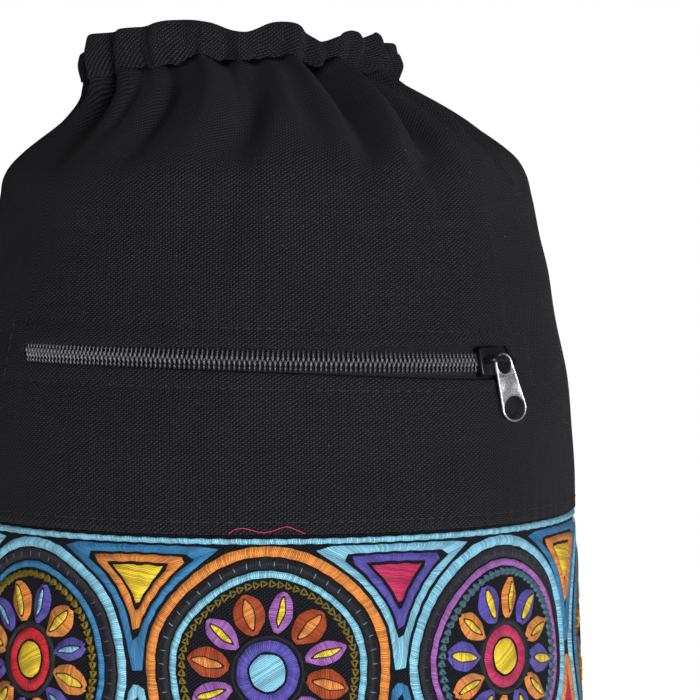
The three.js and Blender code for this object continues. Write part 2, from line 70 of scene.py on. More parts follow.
# Sizes of the tube, the same as the part's
BODY_HALF_WIDTH = 88
BODY_HALF_DEPTH = 86
BAND_HEIGHT = 70
SEAM_HEIGHT = 543.5
GATHER_HEIGHT = 664
CASING_HEIGHT = 12.6
MOUTH_HALF_WIDTH = 43.5
MOUTH_HALF_DEPTH = 30
MOUTH_SHIFT = -8
CANVAS_WALL = 1.6
PANEL_WALL = 2.4
BAND_WALL = 2
CASING_WALL = 2.8
GAP = 0.3

# Folds, zip, slider, pull tab and strap, the same as the part's
FOLD_DEPTH = 4.5
FOLD_LEAD = 0.4
FOLD_RISE = 0.6
LIFT_START = 0.75
PLEAT_DEPTH = 1.3
PLEAT_COUNT = 19
PLEAT_FADE = 13
ZIP_HEIGHT = 587
SLOT_HALF_TURN = 50.5
ZIP_DROP = 1.4
TAPE_HEIGHT = 15
TAPE_THICKNESS = 1
TAPE_OVERLAP = 6
COIL_THICKNESS = 1.5
SLIDER_TURN = 44.2
SLIDER_LENGTH = 10.8
SLIDER_WIDTH = 7.2
SLIDER_PLATE = 1.3
FLANGE_THICKNESS = 0.8
FLANGE_LENGTH = 5.6
FLANGE_SHIFT = -1.6
BRIDGE_LENGTH = 5.2
BRIDGE_START = -4.4
BRIDGE_RADIUS = 0.45
BRIDGE_CLEAR = 3.4
TAB_LENGTH = 18.4
TAB_EYE_HALF_WIDTH = 2
TAB_EYE_HALF_HEIGHT = 2.4
TAB_EYE_ABOVE = 1.2
TAB_HOLE_RADIUS = 3.05
TAB_RIM = 0.6
TAB_THICKNESS = 0.7
TAB_LIFT = 1.8
TAB_LEAN = 14
TAB_FACING = 18
TAB_PITCH = 2
STRAP_WIDTH = 38
STRAP_THICKNESS = 2.4
STRAP_FOOT = 34
STRAP_HEAD = 622
STRAP_SEWN = 26
STRAP_BOW = 84
STRAP_CURL_FADE = 7.2

LOWER_SECTIONS = table(
    "up reach",
    (0, 0.965),
    (0.012, 0.985),
    (0.04, 1),
    (0.129, 1),
    (0.5, 0.994),
    (0.9, 1.005),
    (0.94, 0.997),
    (0.97, 0.99),
    (1, 0.98),
)

UPPER_SECTIONS = table(
    "up left right front back",
    (0, 0.95, 0.966, 0.955, 0.955),
    (0.09, 0.94, 0.964, 0.95, 0.95),
    (0.185, 0.926, 0.949, 0.93, 0.93),
    (0.305, 0.893, 0.926, 0.9, 0.9),
    (0.434, 0.81, 0.867, 0.85, 0.85),
    (0.543, 0.753, 0.825, 0.81, 0.81),
    (0.625, 0.685, 0.775, 0.77, 0.76),
    (0.717, 0.63, 0.733, 0.73, 0.7),
    (0.768, 0.6, 0.707, 0.69, 0.65),
    (0.813, 0.48, 0.642, 0.61, 0.56),
    (0.888, 0.205, 0.427, 0.4, 0.37),
    (0.957, 0.02, 0.168, 0.16, 0.15),
    (1, 0, 0, 0, 0),
)

# The lower edge of the casing round the mouth, as a share of its height
GATHER_EDGE = table(
    "turn gather",
    (-180, 0),
    (-120, -0.08),
    (-76, -0.12),
    (-51, -0.02),
    (-35, 0.06),
    (-19, 0.14),
    (-3, 0.2),
    (3, 0.2),
    (13, 0.18),
    (34, 0.1),
    (48, 0.02),
    (64, -0.06),
    (81, -0.12),
    (125, -0.08),
    (180, 0),
)

# The wavy top edge of the casing, as a share of its height
TOP_EDGE = table(
    "turn top",
    (-180, 0.9),
    (-150, 0.96),
    (-120, 0.84),
    (-98, 0.62),
    (-90, 0.5),
    (-81, 0.52),
    (-77, 0.78),
    (-60, 0.86),
    (-42, 0.92),
    (-22, 1.05),
    (-10, 0.97),
    (2, 0.77),
    (13, 0.99),
    (22, 0.95),
    (32, 0.62),
    (38, 0.72),
    (47, 0.88),
    (51, 0.87),
    (54, 0.74),
    (58, 0.84),
    (63, 0.86),
    (66, 0.58),
    (74, 0.6),
    (82, 0.5),
    (92, 0.74),
    (125, 0.86),
    (180, 0.9),
)

# Folds that run down from the gathers, as in the part
FOLDS = table(
    "top end depth wide",
    ((-28, 0.97), (-32, 0.72), -0.55, 6),
    ((-17, 0.95), (-21, 0.6), 0.5, 6),
    ((2, 0.97), (-12, 0.74), -0.6, 5),
    ((8, 0.97), (-4, 0.7), 0.4, 4.5),
    ((-5, 0.8), (-8, 0.5), -0.35, 3.5),
    ((9, 0.92), (15, 0.82), -0.4, 6),
    ((27, 0.98), (20, 0.72), -1, 4.5),
    ((34, 0.97), (26, 0.7), 0.5, 4.5),
    ((42, 0.95), (34, 0.72), -0.9, 4.5),
    ((56, 0.95), (41, 0.74), 0.45, 6),
    ((42, 0.8), (31, 0.42), -0.3, 4.5),
    ((71, 0.7), (63, 0.05), 0.4, 8),
    ((-71, 0.7), (-63, 0.05), 0.4, 8),
    ((-58, 0.96), (-50, 0.72), -0.6, 6),
    ((112, 0.97), (118, 0.66), -0.7, 7),
    ((136, 0.96), (138, 0.62), 0.5, 8),
    ((158, 0.97), (156, 0.6), -0.7, 7),
    ((-160, 0.96), (-158, 0.64), 0.4, 7),
    ((-134, 0.97), (-140, 0.62), -0.8, 7),
    ((-104, 0.96), (-108, 0.64), 0.5, 8),
)

# Finer folds and creases of the cloth, in the same terms
CREASES = table(
    "top end depth wide",
    ((50, 0.965), (66, 0.7), 0.22, 2),
    ((33, 0.8), (38, 0.68), -0.22, 2.4),
    ((-7, 0.7), (-9, 0.5), -0.14, 1.8),
    ((-43, 0.95), (-41, 0.8), -0.3, 3),
    ((16, 0.97), (14, 0.86), 0.3, 2.6),
    ((62, 0.93), (58, 0.8), -0.3, 3),
    ((82, 0.95), (80, 0.7), -0.4, 4),
    ((-84, 0.95), (-80, 0.7), -0.4, 4),
    ((98, 0.96), (100, 0.74), 0.35, 4),
    ((-118, 0.96), (-116, 0.76), -0.35, 4),
    ((176, 0.96), (178, 0.74), 0.35, 4),
    ((27, 0.98), (21, 0.76), -0.4, 3),
    ((43, 0.97), (35, 0.74), -0.45, 3),
    ((35, 0.97), (28, 0.76), 0.3, 3),
    ((1, 0.97), (-13, 0.76), -0.3, 3.5),
    ((-28, 0.97), (-33, 0.74), -0.35, 4),
    ((55, 0.97), (47, 0.76), -0.35, 3),
)

# Small gathers round the front of the mouth: where each lies, how wide and how deep in mm
GATHERS = table(
    "turn wide depth",
    (-83, 3, 1.2),
    (-74, 2.6, -1.1),
    (-66, 3, 0.7),
    (-57, 2.4, -0.9),
    (-49, 3, 0.5),
    (-40, 2.2, -0.9),
    (-33, 2.6, 0.5),
    (-27, 2.0, -0.9),
    (-21.5, 2.2, 0.6),
    (-16, 1.8, -1.1),
    (-11, 2.0, 0.5),
    (-5, 1.7, -0.8),
    (1, 2.2, 0.5),
    (6, 1.7, -1.0),
    (10.5, 1.8, 0.6),
    (15.5, 1.8, -1.2),
    (20, 2.0, 0.7),
    (25.5, 2.0, -1.6),
    (30.5, 1.8, 0.9),
    (35, 1.6, -1.4),
    (39.5, 1.8, 0.9),
    (44, 1.6, -1.5),
    (48.5, 1.8, 1.0),
    (53, 1.6, -1.4),
    (57.5, 1.8, 1.1),
    (62.5, 1.7, -1.4),
    (67.5, 1.9, 1.2),
    (73, 1.8, -1.4),
    (79, 2.2, 1.2),
    (86, 2.2, -1.2),
)

SLOT_SHAPE = table(
    "turn half",
    (-1, 0.16),
    (0, 0.2),
    (0.74, 0.28),
    (1, 0.29),
)

STRAP_PATH = table(
    "up out",
    (0.05, 0.012),
    (0.09, 0.15),
    (0.16, 0.51),
    (0.27, 0.86),
    (0.4, 1),
    (0.55, 0.92),
    (0.7, 0.66),
    (0.84, 0.3),
    (0.91, 0.12),
    (0.95, 0.03),
)

# The loop that the casing's cloth makes: from its lower outer edge over the top and down inside.
# up is the share of its height, out the way from the middle of its wall in shares of the wall.
CASING_LOOP = table(
    "up out",
    (-0.05, -0.06),
    (-0.03, 0.2),
    (0.07, 0.24),
    (0.26, 0.44),
    (0.55, 0.66),
    (0.82, 0.52),
    (0.95, 0.38),
    (1, 0.1),
    (1, -0.14),
    (0.95, -0.38),
    (0.8, -0.5),
    (0.5, -0.52),
    (0.2, -0.5),
    (0, -0.4),
    (-0.05, -0.2),
)

TAPE_COLOUR = (0.016, 0.015, 0.019)

# Thread colours of the embroidery
THREADS = {
    "black": (0.007, 0.0075, 0.012),
    "turquoise": (0.23, 0.55, 0.72),
    "blue": (0.035, 0.2, 0.42),
    "orange": (0.72, 0.24, 0.045),
    "rust": (0.36, 0.055, 0.012),
    "yellow": (0.82, 0.58, 0.035),
    "red": (0.62, 0.016, 0.03),
    "magenta": (0.5, 0.022, 0.1),
    "violet": (0.35, 0.12, 0.43),
    "indigo": (0.095, 0.075, 0.38),
}


# Shape functions, in mm


def column_at(rows, key, column, place):
    """A column of a table at places between its rows, along a smooth curve through them."""
    keys = np.array([row[key] for row in rows], float)
    values = np.array([row[column] for row in rows], float)
    at = np.clip(place, keys[0], keys[-1])
    i = np.clip(np.searchsorted(keys, at) - 1, 0, len(keys) - 2)
    slope = np.empty(len(keys))
    slope[1:-1] = (values[2:] - values[:-2]) / (keys[2:] - keys[:-2])
    slope[0] = (values[1] - values[0]) / (keys[1] - keys[0])
    slope[-1] = (values[-1] - values[-2]) / (keys[-1] - keys[-2])
    span = keys[i + 1] - keys[i]
    t = (at - keys[i]) / span
    rise = values[i + 1] - values[i]
    ease = t * t * (3 - 2 * t)
    start_pull = slope[i] * span * t * (1 - t) ** 2
    end_pull = slope[i + 1] * span * t * t * (1 - t)
    return values[i] + rise * ease + start_pull - end_pull


def smooth_step(value, low, high):
    t = np.clip((value - low) / (high - low), 0, 1)
    return t * t * (3 - 2 * t)


def share_up(height):
    return (height - SEAM_HEIGHT) / (GATHER_HEIGHT - SEAM_HEIGHT)


def reach_at(height):
    """Half sizes of the tube at a height: to the left, right, front and back of the axis."""
    below = column_at(LOWER_SECTIONS, "up", "reach", height / SEAM_HEIGHT)
    is_below = height <= SEAM_HEIGHT
    ends = {
        "left": (MOUTH_HALF_WIDTH - MOUTH_SHIFT, BODY_HALF_WIDTH),
        "right": (MOUTH_HALF_WIDTH + MOUTH_SHIFT, BODY_HALF_WIDTH),
        "front": (MOUTH_HALF_DEPTH, BODY_HALF_DEPTH),
        "back": (MOUTH_HALF_DEPTH, BODY_HALF_DEPTH),
    }
    return {
        side: np.where(
            is_below,
            large * below,
            small + (large - small) * column_at(UPPER_SECTIONS, "up", side, share_up(height)),
        )
        for side, (small, large) in ends.items()
    }


def tube_point(turn, height):
    """The smooth tube without its folds."""
    reach = reach_at(height)
    a = np.radians(turn)
    middle = (reach["right"] - reach["left"]) / 2
    half = (reach["right"] + reach["left"]) / 2
    depth = np.where(np.cos(a) > 0, reach["front"], reach["back"])
    x = middle + half * np.sin(a)
    y = -depth * np.cos(a)
    return np.stack(np.broadcast_arrays(x, y, height), axis=-1)


def unit(vectors):
    return vectors / np.linalg.norm(vectors, axis=-1, keepdims=True)


def tube_normal(turn, height):
    step = 0.5
    around = tube_point(turn + step, height) - tube_point(turn - step, height)
    rise = tube_point(turn, height + step) - tube_point(turn, height - step)
    return unit(np.cross(around, rise))


def turn_between(turn, centre):
    return (turn - centre + 180) % 360 - 180


def rows_of_folds(folds, turn, up):
    out = np.zeros(np.broadcast(turn, up).shape)
    for fold in folds:
        (turn_top, up_top), (turn_end, up_end) = fold["top"], fold["end"]
        along = (up_top - up) / (up_top - up_end)
        centre = turn_top + (turn_end - turn_top) * along
        across = turn_between(turn, centre) / fold["wide"]
        rise = np.clip((along + FOLD_LEAD) / FOLD_RISE, 0, 1)
        fade = np.sin(np.pi / 2 * rise) * np.cos(np.pi / 2 * np.clip(along, 0, 1))
        out += FOLD_DEPTH * fold["depth"] * np.exp(-across * across) * fade
    return out


def pleat_at(turn):
    a = np.radians(turn)
    return np.sin(PLEAT_COUNT * a + 1.3 * np.sin(2 * a) + 0.8 * np.sin(3 * a + 1))


def fold_at(turn, height):
    """How far the cloth stands out from the smooth tube, as in the part."""
    out = rows_of_folds(FOLDS, turn, share_up(height))
    below = np.maximum(GATHER_HEIGHT - height, 0)
    pleat = np.where(height > SEAM_HEIGHT, np.exp(-below / PLEAT_FADE), 0)
    return out + PLEAT_DEPTH * pleat_at(turn) * pleat


def cloth_point(turn, height, inset=0):
    stand = fold_at(turn, height) - inset
    return tube_point(turn, height) + tube_normal(turn, height) * stand[..., None]


def zip_line_height(turn):
    """Height of the zip's centre line, which drops a little from left to right."""
    return ZIP_HEIGHT - ZIP_DROP * np.sin(np.radians(turn)) / math.sin(math.radians(SLOT_HALF_TURN))


def all_gathers():
    """The table's gathers at the front, and as many like them round the sides and back."""
    draw = random.Random(7)
    rows = list(GATHERS)
    turn = 93.0
    sign = 1
    while turn < 269:
        depth = sign * draw.uniform(0.8, 1.5)
        rows.append({"turn": turn, "wide": draw.uniform(1.9, 2.7), "depth": depth})
        turn += draw.uniform(4.6, 6.4)
        sign = -sign
    return rows


ALL_GATHERS = all_gathers()


def gather_at(turn, slant=0):
    """The small gathers round the mouth, in mm. slant shifts them round, so that they run askew."""
    out = np.zeros(np.broadcast(turn, slant).shape)
    for row in ALL_GATHERS:
        across = turn_between(turn + slant, row["turn"]) / row["wide"]
        out += row["depth"] * np.exp(-across * across)
    return out


def mouth_lift(turn):
    """How far the gather line lies above its own height: it rises in each pinched gather."""
    return column_at(GATHER_EDGE, "turn", "gather", turn) * CASING_HEIGHT - 0.55 * gather_at(turn)


def slot_half(turn):
    """Half the height of the zip's slot; 0 past its ends, which are rounded."""
    share = np.sin(np.radians(turn)) / math.sin(math.radians(SLOT_HALF_TURN))
    half = column_at(SLOT_SHAPE, "turn", "half", share) * TAPE_HEIGHT
    end_round = 1.6
    past = np.clip((np.abs(turn) - SLOT_HALF_TURN + end_round) / end_round, 0, 1)
    return np.where(np.abs(turn) < SLOT_HALF_TURN, half * np.sqrt(1 - past * past), 0)


# Sewing lines: distance above and below the zip, turn of the pocket's ends, and height of the seam's line
STITCH_ABOVE = 7.9
STITCH_BELOW = 7.2
STITCH_TURN = 55.5
STITCH_PITCH = 3.1
SEAM_STITCH = SEAM_HEIGHT + 3.2


def cloth_relief(turn, height):
    """The finer shape of the canvas that the plain solid leaves out."""
    up = share_up(height)
    out = rows_of_folds(CREASES, turn, up)
    below = np.maximum(GATHER_HEIGHT - height, 0)
    out = out + 1.3 * gather_at(turn, below * 0.16) * np.exp(-below / 11)
    at_zip = 1 - smooth_step(np.abs(turn), STITCH_TURN - 1.5, STITCH_TURN + 1.5)
    above = height - zip_line_height(turn)
    groove = np.exp(-(((above - STITCH_ABOVE) / 0.7) ** 2)) + np.exp(-(((above + STITCH_BELOW) / 0.7) ** 2))
    welt = smooth_step(above, -STITCH_BELOW - 0.6, -STITCH_BELOW + 1.2)
    welt = welt * (1 - smooth_step(above, STITCH_ABOVE - 1.2, STITCH_ABOVE + 0.6))
    near_seam = np.exp(-((np.abs(above) - 7.5) / 3.2) ** 2)
    pucker = 0.12 * np.sin(turn * 3.1 + 0.6 * np.sin(turn * 0.7)) * near_seam
    out = out + at_zip * (0.3 * welt - 0.4 * groove + pucker)
    seam_near = np.exp(-(height - SEAM_HEIGHT) / 5)
    out = out + 0.22 * np.sin(turn * 1.9 + 1.4 * np.sin(turn * 0.31)) * seam_near
    a = np.radians(turn)
    broad = np.sin(5 * a + height * 0.045 + 0.7) + 0.7 * np.sin(9 * a - height * 0.07 + 2.1)
    return out + 0.28 * broad * (0.3 + 0.7 * smooth_step(up, 0.1, 0.8))


# Mesh helpers


def set_places(mesh, places):
    mesh.vertices.foreach_set("co", (places * MM).astype(np.float32).ravel())
    mesh.update()


def get_places(mesh):
    places = np.empty(len(mesh.vertices) * 3, np.float32)
    mesh.vertices.foreach_get("co", places)
    return places.reshape(-1, 3).astype(float) / MM


def run_lengths(points, axis):
    """Length along rows or columns of points, from the first one."""
    steps = np.linalg.norm(np.diff(points, axis=axis), axis=-1)
    shape = list(points.shape[:2])
    shape[axis] = 1
    return np.concatenate([np.zeros(shape), np.cumsum(steps, axis=axis)], axis=axis)


def sheet_mesh(name, columns, rows, place, straight=False, open_row=None):
    """A sheet of columns by rows quads, laid flat by the grid operator and then put in place.

    place(u, v) takes shares from 0 to 1 and gives millimetres. The UV map holds the sheet's own
    millimetres, from its middle column and first row. open_row leaves out one row of faces.
    """
    bm = bmesh.new()
    bmesh.ops.create_grid(bm, x_segments=columns, y_segments=rows, size=0.5)
    mesh = bpy.data.meshes.new(name)
    bm.to_mesh(mesh)
    bm.free()
    flat = get_places(mesh) * MM + 0.5
    i = np.rint(flat[:, 0] * columns).astype(int)
    j = np.rint(flat[:, 1] * rows).astype(int)
    u, v = np.meshgrid(np.linspace(0, 1, columns + 1), np.linspace(0, 1, rows + 1))
    points = place(u, v)
    along = run_lengths(points, 1)
    along = along - along[:, [columns // 2]]
    across = run_lengths(points, 0)
    if straight:
        along = np.broadcast_to(along[[rows // 2]], along.shape)
        across = np.broadcast_to(across[:, [columns // 2]], across.shape)
    set_places(mesh, points[j, i])
    corner = np.empty(len(mesh.loops), np.int32)
    mesh.loops.foreach_get("vertex_index", corner)
    layer = mesh.uv_layers.new(name=CLOTH_MAP)
    uv = np.stack([along[j, i], across[j, i]], axis=1)[corner]
    layer.data.foreach_set("uv", uv.astype(np.float32).ravel())
    if open_row is not None:
        bm = bmesh.new()
        bm.from_mesh(mesh)
        bm.verts.ensure_lookup_table()
        cut = [f for f in bm.faces if {int(j[v.index]) for v in f.verts} == {open_row, open_row + 1}]
        bmesh.ops.delete(bm, geom=cut, context="FACES_ONLY")
        bm.to_mesh(mesh)
        bm.free()
    return mesh


def close_seams(mesh, outwards=True):
    """Merges corners that coincide and turns the faces outwards."""
    bm = bmesh.new()
    bm.from_mesh(mesh)
    bmesh.ops.remove_doubles(bm, verts=bm.verts, dist=2e-6)
    bmesh.ops.dissolve_degenerate(bm, edges=bm.edges, dist=1e-7)
    if outwards:
        bmesh.ops.recalc_face_normals(bm, faces=bm.faces)
    bm.to_mesh(mesh)
    bm.free()
    return mesh


def stamp(bm, template, matrix):
    """Adds a copy of a mesh at a place."""
    start = len(bm.verts)
    bm.from_mesh(template)
    bm.verts.ensure_lookup_table()
    bmesh.ops.transform(bm, matrix=matrix, verts=bm.verts[start:])


def finish_bmesh(bm, name):
    mesh = bpy.data.meshes.new(name)
    bm.to_mesh(mesh)
    bm.free()
    return mesh


def add_piece(name, mesh, materials, body="bag", replaces=()):
    """Puts a finished mesh in the scene as a named piece that rides on a body."""
    mesh.shade_smooth()
    for material in materials:
        mesh.materials.append(material)
    piece = bpy.data.objects.new(name, mesh)
    bpy.context.scene.collection.objects.link(piece)
    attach(piece, body)
    if replaces:
        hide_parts(*replaces)
    return piece


def thicken(piece, wall):
    """Gives a sheet its thickness, inwards from its outer face."""
    solid = piece.modifiers.new("Wall", "SOLIDIFY")
    solid.thickness = wall * MM
    solid.offset = -1


def verts_of(geometry):
    return [item for item in geometry if isinstance(item, bmesh.types.BMVert)]


def frame_matrix(here, along, out):
    """Matrix at a place in mm, with X along and Z out."""
    place = Matrix((along, np.cross(out, along), out)).transposed().to_4x4()
    place.translation = Vector(here * MM)
    return place


def bead_mesh(name, length, width, height, around=6, rings=4):
    """A small rounded stitch, lying along X."""
    bm = bmesh.new()
    bmesh.ops.create_uvsphere(bm, u_segments=around, v_segments=rings, radius=0.5)
    bmesh.ops.rotate(bm, cent=(0, 0, 0), matrix=Matrix.Rotation(math.pi / 2, 3, "Y"), verts=bm.verts)
    bmesh.ops.scale(bm, vec=(length * MM, width * MM, height * MM), verts=bm.verts)
    return finish_bmesh(bm, name)


def frame_on_cloth(turn, height, lift=0.0, tilt=0.0):
    """Place and turn of a stitch on the cloth: X runs round the bag, Z out of it."""
    turn = np.array(float(turn))
    height = np.array(float(height))
    step = 0.4
    here = surface_point(turn, height)
    around = unit(surface_point(turn + step, height) - surface_point(turn - step, height))
    rise = surface_point(turn, height + step) - surface_point(turn, height - step)
    out = unit(np.cross(around, rise))
    return frame_matrix(here + out * lift, around, out) @ Matrix.Rotation(math.radians(tilt), 4, "Z")


def surface_point(turn, height):
    """The outer face of the dressed bag at any height."""
    stand = np.where(height > SEAM_HEIGHT, cloth_relief(turn, height) + fold_at(turn, height), 0)
    return tube_point(turn, height) + tube_normal(turn, height) * stand[..., None]


# Shader helpers


def add_node(tree, kind, inputs=None, **settings):
    """A node with its settings. An input that is a socket is linked, any other is a plain value."""
    node = tree.nodes.new(kind)
    for key, value in settings.items():
        setattr(node, key, value)
    for key, value in (inputs or {}).items():
        if isinstance(value, bpy.types.NodeSocket):
            tree.links.new(value, node.inputs[key])
        else:
            node.inputs[key].default_value = value
    return node


def maths(tree, operation, a, b=0.0, c=0.0):
    return add_node(tree, "ShaderNodeMath", {0: a, 1: b, 2: c}, operation=operation).outputs[0]


def remap(tree, value, low, high):
    """Takes 0 to 1 to low to high."""
    return add_node(tree, "ShaderNodeMapRange", {"Value": value, "To Min": low, "To Max": high}).outputs[0]


def noise(tree, vector, scale, detail, roughness=0.5):
    inputs = {"Vector": vector, "Scale": scale, "Detail": detail, "Roughness": roughness}
    return add_node(tree, "ShaderNodeTexNoise", inputs)


def vector_maths(tree, operation, a, b=None, scale=None):
    inputs = {0: a}
    if b is not None:
        inputs[1] = b
    if scale is not None:
        inputs[3] = scale
    return add_node(tree, "ShaderNodeVectorMath", inputs, operation=operation).outputs[0]


def ridges(tree, value):
    """Round ridges, one for each whole number of the value: 0 between them and 1 on top."""
    return maths(tree, "ABSOLUTE", maths(tree, "SINE", maths(tree, "MULTIPLY", value, math.pi)))


def own_tone(tree, value):
    """A tone from 0 to 1 for each whole number of the value."""
    whole = maths(tree, "FLOOR", value)
    return add_node(tree, "ShaderNodeTexWhiteNoise", {"W": whole}, noise_dimensions="1D").outputs["Value"]


def tint(tree, colour, factor):
    """A colour times a factor that changes over the surface."""
    grey = add_node(tree, "ShaderNodeCombineColor", {0: factor, 1: factor, 2: factor}).outputs[0]
    mix = add_node(tree, "ShaderNodeMix", {0: 1.0}, data_type="RGBA", blend_type="MULTIPLY")
    mix.inputs[6].default_value = colour
    tree.links.new(grey, mix.inputs[7])
    return mix.outputs[2]


def mix_colours(tree, share, a, b):
    """Colour a, and the plain colour b where the share is high."""
    mix = add_node(tree, "ShaderNodeMix", data_type="RGBA")
    tree.links.new(share, mix.inputs[0])
    tree.links.new(a, mix.inputs[6])
    mix.inputs[7].default_value = b
    return mix.outputs[2]


def new_group(name, inputs, outputs):
    """An empty shader group with its sockets. inputs maps a name to a default."""
    group = bpy.data.node_groups.new(name, "ShaderNodeTree")
    for label, default in inputs.items():
        kind = "NodeSocketVector" if default is None else "NodeSocketFloat"
        socket = group.interface.new_socket(label, in_out="INPUT", socket_type=kind)
        if default is not None:
            socket.default_value = default
    for label in outputs:
        group.interface.new_socket(label, in_out="OUTPUT", socket_type="NodeSocketFloat")
    return group, group.nodes.new("NodeGroupInput"), group.nodes.new("NodeGroupOutput")


def hand_out(group, result, **values):
    """Links the values to the group's outputs."""
    for label, value in values.items():
        group.links.new(value, result.inputs[label])


def weave_group():
    """Plain weave on the cloth's own millimetres: thread relief, rows of crossings, tone and lint. The rows
    serve only as painted highlights on the crossing threads.
    """
    if "Plain weave" in bpy.data.node_groups:
        return bpy.data.node_groups["Plain weave"]
    sockets = {"Vector": None, "Warp": 0.74, "Weft": 0.53, "Waver": 0.25}
    group, given, result = new_group("Plain weave", sockets, ("Height", "Rows", "Tone", "Lint"))
    place = given.outputs["Vector"]
    wander = noise(group, place, 0.35, 3.0).outputs["Color"]
    centred = vector_maths(group, "SUBTRACT", wander, (0.5, 0.5, 0.5))
    shifted = vector_maths(group, "SCALE", centred, scale=given.outputs["Waver"])
    split = add_node(group, "ShaderNodeSeparateXYZ", {0: vector_maths(group, "ADD", place, shifted)})
    a = maths(group, "DIVIDE", split.outputs[0], given.outputs["Warp"])
    b = maths(group, "DIVIDE", split.outputs[1], given.outputs["Weft"])
    warp = ridges(group, a)
    weft = ridges(group, b)
    count = maths(group, "ADD", maths(group, "FLOOR", a), maths(group, "FLOOR", b))
    over = maths(group, "FLOORED_MODULO", count, 2.0)
    under = maths(group, "SUBTRACT", 1.0, over)
    warp_top = maths(group, "MULTIPLY", warp, maths(group, "MULTIPLY_ADD", over, 0.55, 0.45))
    weft_top = maths(group, "MULTIPLY", weft, maths(group, "MULTIPLY_ADD", under, 0.5, 0.5))
    gaps = maths(group, "POWER", maths(group, "MULTIPLY", warp, weft), 0.25)
    height = maths(group, "MULTIPLY", maths(group, "MAXIMUM", warp_top, weft_top), gaps)
    tones = maths(group, "ADD", own_tone(group, a), own_tone(group, maths(group, "ADD", b, 0.5)))
    tone = maths(group, "MULTIPLY", tones, 0.5)
    slant = maths(group, "MULTIPLY", maths(group, "SUBTRACT", a, b), math.pi)
    rows = maths(group, "MULTIPLY_ADD", maths(group, "COSINE", slant), 0.5, 0.5)
    fluff = noise(group, place, 1.6, 2.0).outputs["Fac"]
    specks = maths(group, "MULTIPLY", maths(group, "SUBTRACT", fluff, 0.72), 12.0)
    lint = add_node(group, "ShaderNodeClamp", {"Value": specks}).outputs[0]
    hand_out(group, result, Height=height, Rows=rows, Tone=tone, Lint=lint)
    return group


def thread_group():
    """Satin stitch: threads side by side across a patch, along the second axis of its own map."""
    if "Satin threads" in bpy.data.node_groups:
        return bpy.data.node_groups["Satin threads"]
    sockets = {"Vector": None, "Pitch": 0.42, "Waver": 0.5}
    group, given, result = new_group("Satin threads", sockets, ("Height", "Tone"))
    place = given.outputs["Vector"]
    split = add_node(group, "ShaderNodeSeparateXYZ", {0: place})
    wander = maths(group, "SUBTRACT", noise(group, place, 0.55, 3.0).outputs["Fac"], 0.5)
    shift = maths(group, "MULTIPLY", wander, given.outputs["Waver"])
    lean = maths(group, "MULTIPLY", split.outputs[1], 0.16)
    across = maths(group, "ADD", maths(group, "ADD", split.outputs[0], lean), shift)
    thread = maths(group, "DIVIDE", across, given.outputs["Pitch"])
    height = maths(group, "POWER", ridges(group, thread), 0.6)
    patchy = maths(group, "MULTIPLY", noise(group, place, 0.3, 2.0).outputs["Fac"], 0.4)
    tone = maths(group, "MULTIPLY_ADD", own_tone(group, thread), 0.6, patchy)
    hand_out(group, result, Height=height, Tone=tone)
    return group


def scuff_group():
    """Soft stains and scuffs on the object's own coordinates."""
    if "Scuffs" in bpy.data.node_groups:
        return bpy.data.node_groups["Scuffs"]
    sockets = {"Vector": None, "Size": 60.0, "Spread": 0.5}
    group, given, result = new_group("Scuffs", sockets, ("Mask",))
    cloud = noise(group, given.outputs["Vector"], given.outputs["Size"], 6.0, 0.65).outputs["Fac"]
    low = maths(group, "SUBTRACT", cloud, given.outputs["Spread"])
    mask = add_node(group, "ShaderNodeClamp", {"Value": maths(group, "MULTIPLY_ADD", low, 2.5, 0.5)})
    hand_out(group, result, Mask=mask.outputs[0])
    return group


def new_material(name):
    """A material with its node tree and its shader."""
    material = bpy.data.materials.new(name)
    material.use_nodes = True
    tree = material.node_tree
    return material, tree, next(n for n in tree.nodes if n.type == "BSDF_PRINCIPLED")


def cloth_map(tree):
    """The mesh's own map, in millimetres of cloth."""
    return add_node(tree, "ShaderNodeUVMap", uv_map=CLOTH_MAP).outputs[0]


def own_place(tree):
    return add_node(tree, "ShaderNodeTexCoord").outputs["Object"]


def add_bump(tree, shader, height, distance):
    bump = add_node(tree, "ShaderNodeBump", {"Height": height, "Distance": distance * MM, "Strength": 1.0})
    tree.links.new(bump.outputs[0], shader.inputs["Normal"])


def woven_material(name, colour, warp, weft, relief, waver=0.25):
    """Plain-weave cloth with thread relief, uneven threads, lint and soft scuffs, with painted light in its
    colour: highlights on the thread tops and crossings, shade between the threads.
    """
    material, tree, shader = new_material(name)
    weave = add_node(tree, "ShaderNodeGroup", node_tree=weave_group())
    for label, value in (("Warp", warp), ("Weft", weft), ("Waver", waver)):
        weave.inputs[label].default_value = value
    tree.links.new(cloth_map(tree), weave.inputs["Vector"])
    scuff = add_node(tree, "ShaderNodeGroup", node_tree=scuff_group())
    tree.links.new(own_place(tree), scuff.inputs["Vector"])
    # Painted light: thread relief and rows of crossings make the colour lighter on the thread tops and darker
    # in the gaps between threads.
    threads = remap(tree, weave.outputs["Height"], 0.15, 1.9)
    threads = maths(tree, "MULTIPLY", threads, remap(tree, weave.outputs["Rows"], 0.25, 1.75))
    uneven = remap(tree, weave.outputs["Tone"], 0.86, 1.14)
    worn = remap(tree, scuff.outputs["Mask"], 0.88, 1.12)
    # The dye's factor: the painted weave light times the threads' own tone and the scuffs.
    shade = maths(tree, "MULTIPLY", maths(tree, "MULTIPLY", threads, uneven), worn)
    specks = maths(tree, "MULTIPLY", weave.outputs["Lint"], 0.16)
    dyed = mix_colours(tree, specks, tint(tree, (*colour, 1), shade), (0.2, 0.2, 0.21, 1))
    tree.links.new(dyed, shader.inputs["Base Color"])
    tree.links.new(remap(tree, weave.outputs["Tone"], 0.72, 0.92), shader.inputs["Roughness"])
    shader.inputs["Specular IOR Level"].default_value = 0.12
    shader.inputs["Sheen Weight"].default_value = 0.03
    shader.inputs["Sheen Roughness"].default_value = 0.45
    add_bump(tree, shader, weave.outputs["Height"], relief)
    return material


